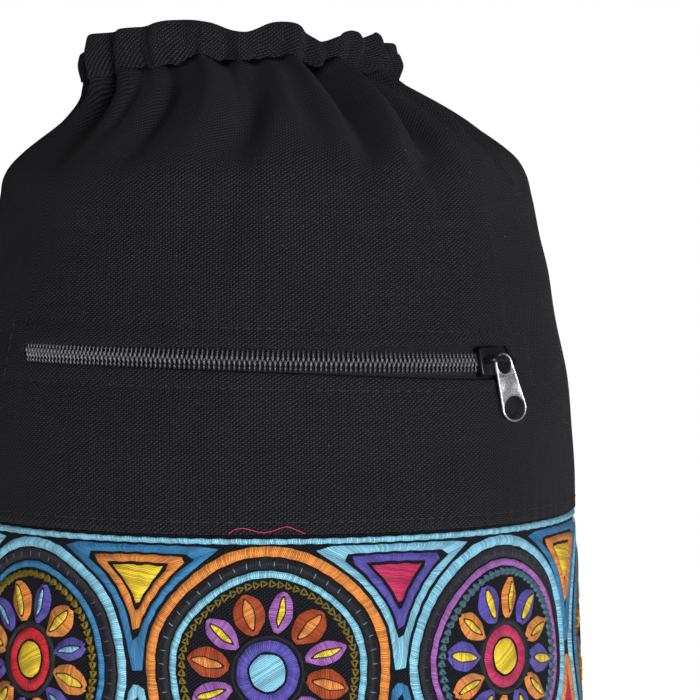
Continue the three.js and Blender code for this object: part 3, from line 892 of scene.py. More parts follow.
def canvas_material(cloth, name="Black canvas"):
    if name in bpy.data.materials:
        return bpy.data.materials[name]
    warp, weft = cloth.warp_pitch / MM, cloth.weft_pitch / MM
    return woven_material(name, tuple(cloth.canvas_colour), warp, weft, relief=0.2)


def thread_material(name, colour):
    """Embroidery thread: a satin with each thread's own tone, and painted shade in the grooves between the
    threads.
    """
    label = f"Thread {name}"
    if label in bpy.data.materials:
        return bpy.data.materials[label]
    material, tree, shader = new_material(label)
    satin = add_node(tree, "ShaderNodeGroup", node_tree=thread_group())
    tree.links.new(cloth_map(tree), satin.inputs["Vector"])
    # Painted shade: the colour darkens in the grooves between the satin threads.
    painted_groove_shade = remap(tree, satin.outputs["Height"], 0.2, 1.25)
    own = remap(tree, satin.outputs["Tone"], 0.48, 1.5)
    shade = maths(tree, "MULTIPLY", painted_groove_shade, own)
    tree.links.new(tint(tree, (*colour, 1), shade), shader.inputs["Base Color"])
    tree.links.new(remap(tree, satin.outputs["Tone"], 0.42, 0.62), shader.inputs["Roughness"])
    shader.inputs["Specular IOR Level"].default_value = 0.4
    shader.inputs["Sheen Weight"].default_value = 0.05
    shader.inputs["Sheen Roughness"].default_value = 0.35
    add_bump(tree, shader, satin.outputs["Height"], 0.16)
    return material


def plain_thread_material(name, colour, roughness=0.6):
    """Sewing thread, too thin to show more than its twist."""
    if name in bpy.data.materials:
        return bpy.data.materials[name]
    material, tree, shader = new_material(name)
    twist = noise(tree, own_place(tree), 2600.0, 2.0).outputs["Fac"]
    dyed = tint(tree, (*colour, 1), remap(tree, twist, 0.5, 1.5))
    tree.links.new(dyed, shader.inputs["Base Color"])
    tree.links.new(remap(tree, twist, roughness - 0.1, roughness + 0.1), shader.inputs["Roughness"])
    add_bump(tree, shader, twist, 0.05)
    return material


def sewing_thread():
    return plain_thread_material("Black sewing thread", (0.012, 0.0115, 0.015), 0.8)


def hard_material(name, colour, metallic, roughness, grain, relief, wear=0.0, grain_and_pit_shade=0.3):
    """Metal or plastic with a fine grain, uneven gloss and paler worn spots; the grain's colour darkens where
    its bump is low, which at a strong setting is painted shade in the pits.
    """
    if name in bpy.data.materials:
        return bpy.data.materials[name]
    material, tree, shader = new_material(name)
    place = own_place(tree)
    fine = noise(tree, place, grain, 4.0, 0.6).outputs["Fac"]
    scuff = add_node(tree, "ShaderNodeGroup", node_tree=scuff_group())
    tree.links.new(place, scuff.inputs["Vector"])
    scuff.inputs["Size"].default_value = 900.0
    scuffed = scuff.outputs["Mask"]
    # The colour follows the grain's bump: darker in its low spots, which at a strong setting is painted shade
    # in the pits.
    base = tint(tree, (*colour, 1), remap(tree, fine, 1 - grain_and_pit_shade, 1 + grain_and_pit_shade))
    worn = mix_colours(tree, maths(tree, "MULTIPLY", scuffed, wear), base, (0.3, 0.3, 0.32, 1))
    tree.links.new(worn, shader.inputs["Base Color"])
    shader.inputs["Metallic"].default_value = metallic
    tree.links.new(remap(tree, scuffed, roughness - 0.06, roughness + 0.1), shader.inputs["Roughness"])
    add_bump(tree, shader, fine, relief)
    return material


# Settings


def colour_setting(name, description, default):
    limits = {"size": 3, "min": 0, "max": 1}
    return FloatVectorProperty(name=name, description=description, subtype="COLOR", default=default, **limits)


def length_setting(name, description, default, least):
    return FloatProperty(name=name, description=description, unit="LENGTH", default=default, min=least)


class MatBagCloth(PropertyGroup):
    """Sizes and colours of the plain cloth."""

    canvas_colour: colour_setting(
        "Canvas colour",
        "Dye of the plain canvas",
        (0.0125, 0.012, 0.0155),
    )
    webbing_colour: colour_setting(
        "Webbing colour",
        "Dye of the strap's webbing",
        (0.012, 0.0115, 0.014),
    )
    warp_pitch: length_setting(
        "Warp pitch",
        "Distance between the canvas's upright threads",
        0.74 * MM,
        least=0.1 * MM,
    )
    weft_pitch: length_setting(
        "Weft pitch",
        "Distance between the canvas's level threads",
        0.53 * MM,
        least=0.1 * MM,
    )
    stitch_length: length_setting(
        "Stitch length",
        "Length of a stitch in the sewing lines",
        2.6 * MM,
        least=0.5 * MM,
    )


class MatBagZip(PropertyGroup):
    """Sizes and colours of the zip."""

    tooth_pitch: length_setting(
        "Tooth pitch",
        "Distance between two teeth of one row",
        1.23 * MM,
        least=0.5 * MM,
    )
    nylon_colour: colour_setting(
        "Nylon colour",
        "Colour of the teeth",
        (0.115, 0.115, 0.124),
    )
    silver_colour: colour_setting(
        "Silver colour",
        "Colour of the pull tab",
        (0.6, 0.6, 0.62),
    )


class MatBagEmbroidery(PropertyGroup):
    """Layout of the embroidered panel."""

    rosettes_round: IntProperty(
        name="Rosettes round",
        description="Rosettes in one row round the panel",
        default=8,
        min=3,
    )
    rosette_radius: length_setting(
        "Rosette radius",
        "Radius of a rosette",
        31.6 * MM,
        least=5 * MM,
    )
    thread_height: length_setting(
        "Thread height",
        "How far the thread work stands up from its ground",
        0.8 * MM,
        least=0.1 * MM,
    )


class MatBagStage(PropertyGroup):
    """Camera, lights and floor."""

    camera_distance: length_setting(
        "Camera distance",
        "Distance from the camera to the bag's axis",
        0.7,
        least=0.2,
    )
    camera_height: FloatProperty(
        name="Camera height",
        description="Height of the camera above the base",
        unit="LENGTH",
        default=0.609,
    )
    room_light: FloatProperty(
        name="Room light",
        description="Strength of the even light from all round",
        default=0.14,
        min=0,
    )
    floor_colour: colour_setting(
        "Floor colour",
        "Colour of the plain floor",
        (0.82, 0.82, 0.82),
    )


# Operators: one for each piece or group of like pieces


# Distances of the canvas's rows from the middle of the zip, which lie closer near the slot
NEAR_ZIP = [0, 0.25, 0.6, 1.1, 1.8, 2.7, 3.8, 5, 6.2, 7.2, 8.2, 9.4, 10.8, 12.4]


def canvas_rows():
    below = ZIP_HEIGHT - SEAM_HEIGHT - GAP / 2
    above = GATHER_HEIGHT - ZIP_HEIGHT
    low = NEAR_ZIP + list(np.linspace(14.6, below, 13))
    high = NEAR_ZIP + list(np.linspace(13.8, above, 46))
    return np.array(low[::-1]) / below, np.array(high) / above


class MATBAG_OT_upper_canvas(Operator):
    """Upper canvas with its folds and the zip's slot"""

    bl_idname = "matbag.upper_canvas"
    bl_label = "Upper canvas"

    def execute(self, context):
        low_rows, high_rows = canvas_rows()
        rows = len(low_rows) + len(high_rows) - 1
        roll = 1.0

        def place(u, v):
            turn = 360 * u - 180
            row = np.rint(v * rows).astype(int)
            is_low = row < len(low_rows)
            share = np.where(
                is_low,
                low_rows[np.clip(row, 0, len(low_rows) - 1)],
                high_rows[np.clip(row - len(low_rows), 0, len(high_rows) - 1)],
            )
            half = slot_half(turn)
            foot = SEAM_HEIGHT + GAP / 2
            line = zip_line_height(turn)
            height = np.where(
                is_low,
                line - half - share * (line - half - foot),
                line + half + share * (GATHER_HEIGHT - line - half),
            )
            from_rim = np.abs(height - line) - half
            rolled = np.clip(roll - from_rim, 0, roll)
            inset = np.where(half > 0.4, roll - np.sqrt(roll * roll - rolled * rolled), 0)
            up = share_up(height)
            tuck = smooth_step(up, 0.97, 1)
            stand = fold_at(turn, height) + cloth_relief(turn, height) - inset - 0.9 * tuck
            point = tube_point(turn, height) + tube_normal(turn, height) * stand[..., None]
            point[..., 2] += mouth_lift(turn) * smooth_step(up, LIFT_START, 1) + 1.2 * tuck
            return point

        mesh = sheet_mesh("upper_canvas_cloth", 480, rows, place, open_row=len(low_rows) - 1)
        close_seams(mesh)
        canvas = canvas_material(context.scene.matbag_cloth)
        piece = add_piece("upper_canvas_cloth", mesh, [canvas], replaces=["upper_canvas"])
        thicken(piece, CANVAS_WALL - 0.3)
        return {"FINISHED"}


class MATBAG_OT_casing(Operator):
    """Gathered casing round the mouth"""

    bl_idname = "matbag.casing"
    bl_label = "Gathered casing"

    def execute(self, context):
        loop = CASING_LOOP + [dict(CASING_LOOP[0])]
        for at, row in enumerate(loop):
            row["at"] = at / (len(loop) - 1)

        def place(u, v):
            turn = 360 * u - 180
            up = column_at(loop, "at", "up", v)
            out = column_at(loop, "at", "out", v)
            low = mouth_lift(turn) + GAP / 2
            high = column_at(TOP_EDGE, "turn", "top", turn) * CASING_HEIGHT
            a = np.radians(turn)
            askew = 2.2 * np.sin(np.radians(turn) * 11 + 1) * up
            ruffle = 1.35 * gather_at(turn, askew) * (1 - 0.62 * np.clip(up, 0, 1))
            crumple = np.sin(turn * 0.83 + up * 5.1 + 1.7 * np.sin(turn * 0.19))
            crumple = 0.28 * crumple * np.clip(1 - up, 0, 1)
            stand = out * CASING_WALL + PLEAT_DEPTH * pleat_at(turn) - CASING_WALL / 2 + 0.3
            stand = stand + (ruffle + crumple) * np.where(out > -0.3, 1, 0.6)
            x = MOUTH_SHIFT + (MOUTH_HALF_WIDTH + stand) * np.sin(a)
            y = -(MOUTH_HALF_DEPTH + stand) * np.cos(a)
            z = GATHER_HEIGHT + low + (high - low) * up
            return np.stack([x, y, z], axis=-1)

        mesh = close_seams(sheet_mesh("casing_cloth", 720, 42, place))
        canvas = canvas_material(context.scene.matbag_cloth)
        add_piece("casing_cloth", mesh, [canvas], replaces=["drawcord_casing"])
        return {"FINISHED"}


class MATBAG_OT_stitching(Operator):
    """Sewing lines round the zip pocket and at the seams"""

    bl_idname = "matbag.stitching"
    bl_label = "Sewing lines"

    def execute(self, context):
        cloth = context.scene.matbag_cloth
        stitch = bead_mesh("stitch", cloth.stitch_length / MM, 0.42, 0.3)
        bm = bmesh.new()
        step = STITCH_PITCH / math.radians(BODY_HALF_DEPTH)
        draw = random.Random(3)
        for above in (STITCH_ABOVE, -STITCH_BELOW):
            for turn in np.arange(-STITCH_TURN, STITCH_TURN, step):
                height = zip_line_height(turn) + above
                stamp(bm, stitch, frame_on_cloth(turn, height, 0.02, draw.uniform(-5, 5)))
        for side in (-1, 1):
            line = zip_line_height(side * STITCH_TURN)
            for above in np.arange(1.5 - STITCH_BELOW, STITCH_ABOVE, STITCH_PITCH):
                stamp(bm, stitch, frame_on_cloth(side * STITCH_TURN, line + above, 0.02, 90))
        for turn in np.arange(-180, 180, step):
            stamp(bm, stitch, frame_on_cloth(turn, SEAM_STITCH, 0.02, draw.uniform(-5, 5)))
        add_piece("sewing_lines", finish_bmesh(bm, "sewing_lines"), [sewing_thread()])
        return {"FINISHED"}


# Embroidery, worked out flat: X round the panel, Y up it and Z out of it, in mm


PANEL_ROUND = 2 * math.pi * math.sqrt((BODY_HALF_WIDTH**2 + BODY_HALF_DEPTH**2) / 2)
GROUND_SINK = 0.75
SUNK = -0.12

# Rings of a rosette: how far inside its rim each has its middle, and its share of the thread height
ROSETTE_RINGS = table(
    "thread inside wide rise steps",
    ("ring", 1.35, 2.7, 1, 96),
    ("black", 4.5, 3, 0.8, 84),
    ("inner", 7.2, 1.9, 1, 84),
)
ROSETTE_HUB = table("thread middle wide rise steps", ("black", 9.0, 1.7, 1.15, 32), ("hub", 6.6, 3.1, 1, 32))
EYE_RADIUS = 4.7
TICK_COUNT = 48
TICK_INSIDE = 4.5
TICK_LIFT = 0.76
TICK_SIZE = (1.7, 0.26, 0.26)
CHAIN_INSIDE = 9.6
LINK_LENGTH = 2
LINK_WIDTH = 2.1
LINK_THREAD = 0.62

# Nested petals, from the wheel's middle outwards
PETAL_COUNT = 12
PETAL_START = 9.9
PETAL_INSIDE = 11.2
LEAF_LEAN = 1.05
LEAF_BLUNT = 0.55
WIDE_PETAL = table(
    "thread start wide rise",
    ("petal", 9.9, 8.3, 1),
    ("black", 10.9, 5.4, 1.12),
    ("core", 11.6, 4.0, 1.35),
)
SLIM_PETAL = table(
    "thread start wide rise",
    ("slim", 9.9, 6.4, 0.95),
    ("black", 11.2, 3.9, 1.08),
    ("tip", 12.0, 2.6, 1.25),
)


def crowned(v, height):
    """Section of a raised patch: 0 at its two edges, which dip into the ground."""
    across = np.abs(2 * v - 1)
    return SUNK + (height - SUNK) * np.sqrt(np.clip(1 - across**3.2, 0, 1))


def ring_patch(name, radius, width, height, steps):
    def place(u, v):
        a = 2 * np.pi * u
        r = radius + width * (v - 0.5)
        return np.stack([r * np.cos(a), r * np.sin(a), crowned(v, height)], axis=-1)

    return close_seams(sheet_mesh(name, steps, 3, place, straight=True), outwards=False)


def leaf_patch(name, start, length, width, height):
    """A leaf of satin stitch along X, from start outwards, blunt at both ends."""

    def place(u, v):
        half = width / 2 * np.sin(np.pi * np.clip(u, 0.02, 0.985) ** LEAF_LEAN) ** LEAF_BLUNT
        x = start + length * u
        y = (2 * v - 1) * half
        return np.stack([x, y, crowned(v, height)], axis=-1)

    return sheet_mesh(name, 9, 4, place, straight=True)


def strip_patch(name, length, width, height, steps):
    def place(u, v):
        return np.stack([length * (u - 0.5), width * (v - 0.5), crowned(v, height)], axis=-1)

    return sheet_mesh(name, steps, 3, place, straight=True)


def disc_patch(name, radius, height):
    """A filled disc of level stitches."""

    def place(u, v):
        half = radius * np.sqrt(np.clip(1 - (2 * u - 1) ** 2, 0, 1)) + 0.02
        x = radius * (2 * u - 1)
        rim = np.clip(1 - ((2 * u - 1) ** 2), 0, 1) ** 0.25
        return np.stack([x, (2 * v - 1) * half, SUNK + (crowned(v, height) - SUNK) * rim], axis=-1)

    return sheet_mesh(name, 14, 6, place, straight=True)


def triangle_patch(name, wide, high, height):
    """A filled triangle of level stitches: its base at y = 0 and its point at the top."""

    def place(u, v):
        half = wide / 2 * (1 - u) + 0.04
        rim = np.sqrt(np.clip(1 - np.abs(2 * u - 1) ** 5, 0, 1))
        return np.stack([(1 - 2 * v) * half, high * u, SUNK + (crowned(v, height) - SUNK) * rim], axis=-1)

    return sheet_mesh(name, 8, 4, place, straight=True)


def reach_in_gap(a, walls, margin, most):
    """Distance from the middle of a gap, in direction a, to the nearest of the round or straight walls.

    A round wall is (x, y, radius) and a straight one is (0, height, 0).
    """
    reach = np.full(np.shape(a), float(most))
    for x, y, radius in walls:
        if radius:
            along = np.cos(a) * x + np.sin(a) * y
            inside = along**2 - (x * x + y * y - (radius + margin) ** 2)
            hit = np.where((inside > 0) & (along > 0), along - np.sqrt(np.clip(inside, 0, None)), most)
        else:
            slope = np.sin(a) * math.copysign(1, y)
            hit = np.where(slope > 0.02, (abs(y) - margin) / np.clip(slope, 0.02, None), most)
        reach = np.minimum(reach, hit)
    return reach


def gap_band(name, walls, margin, width, most, height):
    """A ribbon that follows the walls of a gap."""

    def place(u, v):
        a = 2 * np.pi * u + 0.01
        outer = reach_in_gap(a, walls, margin, most)
        inner = np.minimum(reach_in_gap(a, walls, margin + width, most - width), outer - 0.5)
        r = inner + (outer - inner) * v
        return np.stack([r * np.cos(a), r * np.sin(a), crowned(v, height)], axis=-1)

    return close_seams(sheet_mesh(name, 54, 3, place, straight=True), outwards=False)


def gap_fill(name, walls, margin, most, height):
    """A filled patch in the middle of a gap, of level stitches."""

    def place(u, v):
        a = 2 * np.pi * u + 0.01
        r = reach_in_gap(a, walls, margin, most) * np.where(v < 0.01, 0.02, v)
        lift = SUNK + (height - SUNK) * np.sqrt(np.clip(1 - v**4, 0, 1))
        return np.stack([r * np.cos(a), r * np.sin(a), lift], axis=-1)

    mesh = close_seams(sheet_mesh(name, 42, 4, place, straight=True), outwards=False)
    return mesh_with_plain_map(mesh)


def mesh_with_plain_map(mesh):
    """Gives a flat patch a map of its own X and Y, so that its threads lie parallel."""
    corner = np.empty(len(mesh.loops), np.int32)
    mesh.loops.foreach_get("vertex_index", corner)
    flat = get_places(mesh)[corner]
    uv = np.stack([flat[:, 1], flat[:, 0]], axis=1)
    mesh.uv_layers[CLOTH_MAP].data.foreach_set("uv", uv.astype(np.float32).ravel())
    return mesh


def chain_link(name, length, width, thread, height):
    """One link of chain stitch: a pointed loop of a single thread."""
    bm = bmesh.new()
    outline = [(0, 0), (0.55, 0.36), (1, 0.5), (1.12, 0), (1, -0.5), (0.55, -0.36)]
    made = bmesh.ops.create_circle(bm, cap_ends=False, segments=len(outline), radius=1)
    for vert, (x, y) in zip(made["verts"], outline):
        vert.co = Vector((x * length, y * width, SUNK)) * MM
    edges = list(bm.edges)
    centre = Vector((0.62 * length, 0, 0)) * MM
    for lift in (height, SUNK):
        grown = bmesh.ops.extrude_edge_only(bm, edges=edges)["geom"]
        verts = verts_of(grown)
        edges = [g for g in grown if isinstance(g, bmesh.types.BMEdge)]
        for vert in verts:
            around = vert.co - centre
            around.z = 0
            reach = around.length
            around *= (reach - thread / 2 * MM) / reach
            vert.co = Vector((centre.x + around.x, centre.y + around.y, lift * MM))
    bmesh.ops.recalc_face_normals(bm, faces=bm.faces)
    if sum(f.normal.z for f in bm.faces) < 0:
        bmesh.ops.reverse_faces(bm, faces=bm.faces)
    bm.loops.layers.uv.new(CLOTH_MAP)
    return finish_bmesh(bm, name)


def flat_place(x, y, turn=0.0):
    """Matrix that puts a flat motif at a place on the flat panel, turned in degrees."""
    return Matrix.Translation((x * MM, y * MM, 0)) @ Matrix.Rotation(math.radians(turn), 4, "Z")


class Motifs:
    """Flat motifs gathered by thread colour."""

    def __init__(self):
        self.colours = {}

    def put(self, colour, template, matrix):
        if colour not in self.colours:
            self.colours[colour] = bmesh.new()
        stamp(self.colours[colour], template, matrix)

    def meshes(self, name):
        return {colour: finish_bmesh(bm, f"{name}_{colour}") for colour, bm in self.colours.items()}


def rosette(name, radius, height, colours):
    """One round motif: rings round a wheel of nested petals. colours names its threads."""
    motif = Motifs()

    def ring(thread, middle, row):
        patch = ring_patch(thread, middle, row["wide"], height * row["rise"], row["steps"])
        motif.put(colours.get(thread, thread), patch, Matrix())

    outer, band, inner = ROSETTE_RINGS
    for row in (outer, band):
        ring(row["thread"], radius - row["inside"], row)
    tick = bead_mesh("tick", *TICK_SIZE, 4, 3)
    tick.uv_layers.new(name=CLOTH_MAP)
    on_band = flat_place(radius - TICK_INSIDE, 0) @ Matrix.Translation((0, 0, height * TICK_LIFT * MM))
    for k in range(TICK_COUNT):
        motif.put(colours["tick"], tick, flat_place(0, 0, 360 * k / TICK_COUNT) @ on_band)
    ring(inner["thread"], radius - inner["inside"], inner)
    link = chain_link("link", LINK_LENGTH, LINK_WIDTH, LINK_THREAD, height * 1.3)
    links = round(2 * math.pi * (radius - CHAIN_INSIDE) / LINK_WIDTH)
    for k in range(links):
        spin = flat_place(0, 0, 360 * k / links)
        motif.put(colours["chain"], link, spin @ flat_place(radius - CHAIN_INSIDE, 0, 90))
    reach = radius - PETAL_INSIDE
    leaves = []
    for petal in (SLIM_PETAL, WIDE_PETAL):
        layers = []
        for row in petal:
            thread = row["thread"]
            length = reach - (row["start"] - PETAL_START) * 0.7 - row["start"]
            leaf = leaf_patch(thread, row["start"], length, row["wide"], height * row["rise"])
            layers.append((colours.get(thread, thread), leaf))
        leaves.append(layers)
    for k in range(PETAL_COUNT):
        for thread, leaf in leaves[k % 2]:
            motif.put(thread, leaf, flat_place(0, 0, 360 * k / PETAL_COUNT))
    for row in ROSETTE_HUB:
        ring(row["thread"], row["middle"], row)
    motif.put(colours["eye"], disc_patch("eye", EYE_RADIUS, height), flat_place(0, 0, 90))
    return motif.meshes(name)


def gap_motif(name, walls, most, height, colours):
    """Nested ribbons and a filled middle in a gap between rosettes."""
    motif = Motifs()
    margin = 0.7
    for colour in colours[:-1]:
        motif.put(colour, gap_band("gap_band", walls, margin, 2.0, most - margin, height), Matrix())
        margin += 2.6
    motif.put(colours[-1], gap_fill("gap_fill", walls, margin, most - margin - 2, height), Matrix())
    return motif.meshes(name)


ROSETTE_COLOURS = table(
    "ring tick inner chain petal core slim tip hub eye",
    "turquoise violet blue yellow orange yellow indigo turquoise red yellow".split(),
    "turquoise indigo violet turquoise indigo yellow orange yellow magenta yellow".split(),
    "orange turquoise turquoise yellow rust orange violet yellow indigo turquoise".split(),
)

GAP_COLOURS = [
    ["blue", "yellow"],
    ["orange", "magenta"],
    ["indigo", "turquoise"],
    ["turquoise", "red"],
]
WIDE_GAP_COLOURS = [["turquoise", "indigo", "magenta"], ["blue", "orange", "yellow"]]
TENT_COLOURS = ["yellow", "indigo", "orange", "blue", "magenta", "turquoise"]
TENT_CORES = ["red", "turquoise", "indigo", "yellow", "orange", "violet"]


def panel_layout(motif, radius, height, around):
    """Puts every motif on the flat panel, row by row from the seam to the base band."""
    pitch = PANEL_ROUND / around
    edge = 2.3
    border = 13
    top = SEAM_HEIGHT - edge - 0.4 - radius
    lowest = BAND_HEIGHT + border + radius
    rows = round((top - lowest) / (pitch * 0.83)) + 1
    rise = (top - lowest) / (rows - 1)
    wheels = [rosette(f"rosette{k}", radius, height, c) for k, c in enumerate(ROSETTE_COLOURS)]
    # Middle of the gap between two rosettes of a row and the one below them
    drop = (rise * rise - pitch * pitch / 4) / (2 * rise)
    round_walls = [(-pitch / 2, drop, radius), (pitch / 2, drop, radius), (0, drop - rise, radius)]
    gaps = [gap_motif(f"gap{k}", round_walls, 15, height, c) for k, c in enumerate(GAP_COLOURS)]
    # Middle of the gap between two rosettes and the seam
    climb = radius * 0.72
    seam_walls = [(-pitch / 2, -climb, radius), (pitch / 2, -climb, radius), (0, radius + 0.6 - climb, 0)]
    wide_gaps = [
        gap_motif(f"wide_gap{k}", seam_walls, 24, height, c) for k, c in enumerate(WIDE_GAP_COLOURS)
    ]

    def lay(meshes, matrix):
        for colour, mesh in meshes.items():
            motif.put(colour, mesh, matrix)

    for row in range(rows):
        y = top - rise * row
        for k in range(around):
            x = pitch * (k + 0.5 * (row % 2) - around / 2)
            lay(wheels[(2 * k + row) % len(wheels)], flat_place(x, y, 15 + 4 * (k % 3)))
            between = x + pitch / 2
            if row < rows - 1:
                lay(gaps[(k + row) % len(gaps)], flat_place(between, y - drop))
            if row > 0:
                lay(gaps[(k + 2 * row + 1) % len(gaps)], flat_place(between, y + drop, 180))
            if row == 0:
                lay(wide_gaps[k % 2], flat_place(between, y + climb))
            if row == rows - 1:
                lay(wide_gaps[k % 2], flat_place(between, y - climb, 180))
    strip = strip_patch("strip", PANEL_ROUND, 1.9, height, 360)
    for y in (SEAM_HEIGHT - 1.25, BAND_HEIGHT + border - 1.6):
        motif.put("turquoise", strip, flat_place(0, y))
    tent = triangle_patch("tent", 10.6, 8.2, height)
    inner = triangle_patch("inner_tent", 5.2, 4, height * 1.4)
    count = around * 6
    step = PANEL_ROUND / count
    low = BAND_HEIGHT + 1
    for k in range(count):
        x = step * (k + 0.5 - count / 2)
        motif.put(TENT_COLOURS[k % 6], tent, flat_place(x, low))
        motif.put(TENT_CORES[k % 6], inner, flat_place(x, low + 1.2))
        motif.put(TENT_COLOURS[(k + 3) % 6], tent, flat_place(x + step / 2, low + 8.6, 180))


def lay_on_panel(mesh):
    """Wraps flat work round the panel, a little unevenly, as handwork is."""
    flat = get_places(mesh)
    s, y, out = flat[:, 0], flat[:, 1], flat[:, 2]
    s = s + 0.3 * np.sin(y * 0.23 + 1.3 * np.sin(s * 0.06)) + 0.12 * np.sin(s * 0.9 + y * 1.1)
    y = y + 0.3 * np.sin(s * 0.19 + 1.7 * np.sin(y * 0.05)) * smooth_step(SEAM_HEIGHT - y, 1.5, 8)
    y = y + 0.1 * np.sin(s * 1.3 - y * 0.8)
    turn = s / PANEL_ROUND * 360
    places = tube_point(turn, y) + tube_normal(turn, y) * (out - GROUND_SINK)[:, None]
    set_places(mesh, places)


class MATBAG_OT_panel(Operator):
    """Embroidered panel: its ground and the raised thread work, one piece for each colour"""

    bl_idname = "matbag.panel"
    bl_label = "Embroidered panel"

    def execute(self, context):
        settings = context.scene.matbag_embroidery

        def place(u, v):
            turn = 360 * u - 180
            low = BAND_HEIGHT + GAP / 2
            high = SEAM_HEIGHT + 0.6
            height = low + (high - low) * v
            quilt = 0.08 * np.sin(turn * 1.7 + height * 0.3) * np.sin(height * 0.41 + turn * 0.4)
            return tube_point(turn, height) + tube_normal(turn, height) * (quilt - GROUND_SINK)[..., None]

        ground = close_seams(sheet_mesh("panel_ground", 180, 70, place))
        black = woven_material("Black ground", THREADS["black"], warp=0.62, weft=0.45, relief=0.16, waver=0.5)
        piece = add_piece("panel_ground", ground, [black], replaces=["embroidered_panel"])
        thicken(piece, PANEL_WALL - GROUND_SINK)
        motif = Motifs()
        radius, height = settings.rosette_radius / MM, settings.thread_height / MM
        panel_layout(motif, radius, height, settings.rosettes_round)
        for colour, mesh in motif.meshes("embroidery").items():
            lay_on_panel(mesh)
            thread = thread_material(colour, THREADS[colour])
            add_piece(f"embroidery_{colour}", mesh, [thread])
        return {"FINISHED"}


# Loose thread: how far round each of its points is and how far above the seam
LOOSE_THREAD = table(
    "turn up",
    (-6.6, 0.4),
    (-5, 2.4),
    (-2.6, 1.2),
    (-0.6, 0.5),
    (1.6, 1.6),
    (3.2, 2.6),
    (4.6, 1.3),
    (6, 0.2),
)

# Specks of lint seen at the front, as degrees round and height, and how many more are strewn where
LINT_SPOTS = ((-19.5, 652.5), (-21, 652.7), (-7.8, 653.4), (-32, 640.2), (5, 624), (30, 640))
LINT_HEIGHTS = (560, 655)
MORE_LINT = 26


class MATBAG_OT_loose_thread(Operator):
    """Loose end of red thread along the seam, and lint on the shoulder"""

    bl_idname = "matbag.loose_thread"
    bl_label = "Loose thread and lint"

    def execute(self, context):
        thread = bpy.data.curves.new("loose_thread", "CURVE")
        thread.dimensions = "3D"
        thread.bevel_depth = 0.13 * MM
        thread.bevel_resolution = 1
        thread.resolution_u = 4
        spline = thread.splines.new("NURBS")
        spline.points.add(len(LOOSE_THREAD) - 1)
        spline.use_endpoint_u = True
        spline.order_u = 4
        for point, row in zip(spline.points, LOOSE_THREAD):
            place = frame_on_cloth(row["turn"], SEAM_HEIGHT + row["up"], 0.25).translation
            point.co = (*place, 1)
        holder = bpy.data.objects.new("loose_thread_line", thread)
        mesh = bpy.data.meshes.new_from_object(holder)
        bpy.data.objects.remove(holder)
        red = plain_thread_material("Loose red thread", THREADS["magenta"])
        add_piece("loose_thread", mesh, [red])
        speck = bead_mesh("speck", 0.5, 0.14, 0.1, 5, 4)
        bm = bmesh.new()
        draw = random.Random(11)
        spots = list(LINT_SPOTS)
        spots += [(draw.uniform(-180, 180), draw.uniform(*LINT_HEIGHTS)) for _ in range(MORE_LINT)]
        for turn, height in spots:
            matrix = frame_on_cloth(turn, height, 0.08, draw.uniform(0, 180))
            stamp(bm, speck, matrix @ Matrix.Scale(draw.uniform(0.5, 1.1), 4))
        white = plain_thread_material("Lint", (0.35, 0.35, 0.36))
        add_piece("lint", finish_bmesh(bm, "lint"), [white])
        return {"FINISHED"}


class MATBAG_OT_base(Operator):
    """Base band with its sewing, and the base"""

    bl_idname = "matbag.base"
    bl_label = "Base band and base"

    def execute(self, context):
        cloth = context.scene.matbag_cloth
        canvas = canvas_material(cloth)

        def place(u, v):
            turn = 360 * u - 180
            rows = np.where(v < 0.16, v / 0.16 * 0.06, 0.06 + (v - 0.16) / 0.84 * 0.94)
            height = rows * (BAND_HEIGHT - GAP / 2)
            groove = np.exp(-(((height - 66) / 0.7) ** 2)) + np.exp(-(((height - 7) / 0.8) ** 2))
            welt = 0.35 * smooth_step(height, 62.5, 64.5)
            drag = 0.3 * np.sin(turn * 0.12 + 1) * np.sin(height * 0.07)
            drag = drag + 0.2 * np.sin(turn * 0.21 + height * 0.09)
            stand = welt - 0.4 * groove + drag * smooth_step(height, 4, 16) - 0.25
            return tube_point(turn, height) + tube_normal(turn, height) * stand[..., None]

        band = close_seams(sheet_mesh("base_band_cloth", 240, 44, place))
        piece = add_piece("base_band_cloth", band, [canvas], replaces=["base_band"])
        thicken(piece, BAND_WALL - 0.3)
        stitch = bead_mesh("band_stitch", cloth.stitch_length / MM, 0.42, 0.3)
        bm = bmesh.new()
        step = 3.3 / math.radians(BODY_HALF_DEPTH)
        for height, sink in ((66, 0.35), (7, 0.45)):
            for turn in np.arange(-180, 180, step):
                stamp(bm, stitch, frame_on_cloth(turn, height, -sink))
        add_piece("base_sewing", finish_bmesh(bm, "base_sewing"), [sewing_thread()])
        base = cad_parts["base_disc"]
        base.data.materials.clear()
        base.data.materials.append(base_material(cloth))
        return {"FINISHED"}


def base_material(cloth):
    """The canvas for the base, whose mesh has no cloth map: it reads the object's own millimetres."""
    material = canvas_material(cloth, "Base canvas")
    tree = material.node_tree
    weave = next(n for n in tree.nodes if n.type == "GROUP" and n.node_tree.name == "Plain weave")
    flat = vector_maths(tree, "SCALE", own_place(tree), scale=1 / MM)
    tree.links.new(flat, weave.inputs["Vector"])
    return material


def zip_line(turn, above, inset):
    """A point on the zip: above its centre line, and sunk below the cloth's outer face."""
    turn = np.asarray(turn, float)
    return cloth_point(turn, zip_line_height(turn) + above, inset)


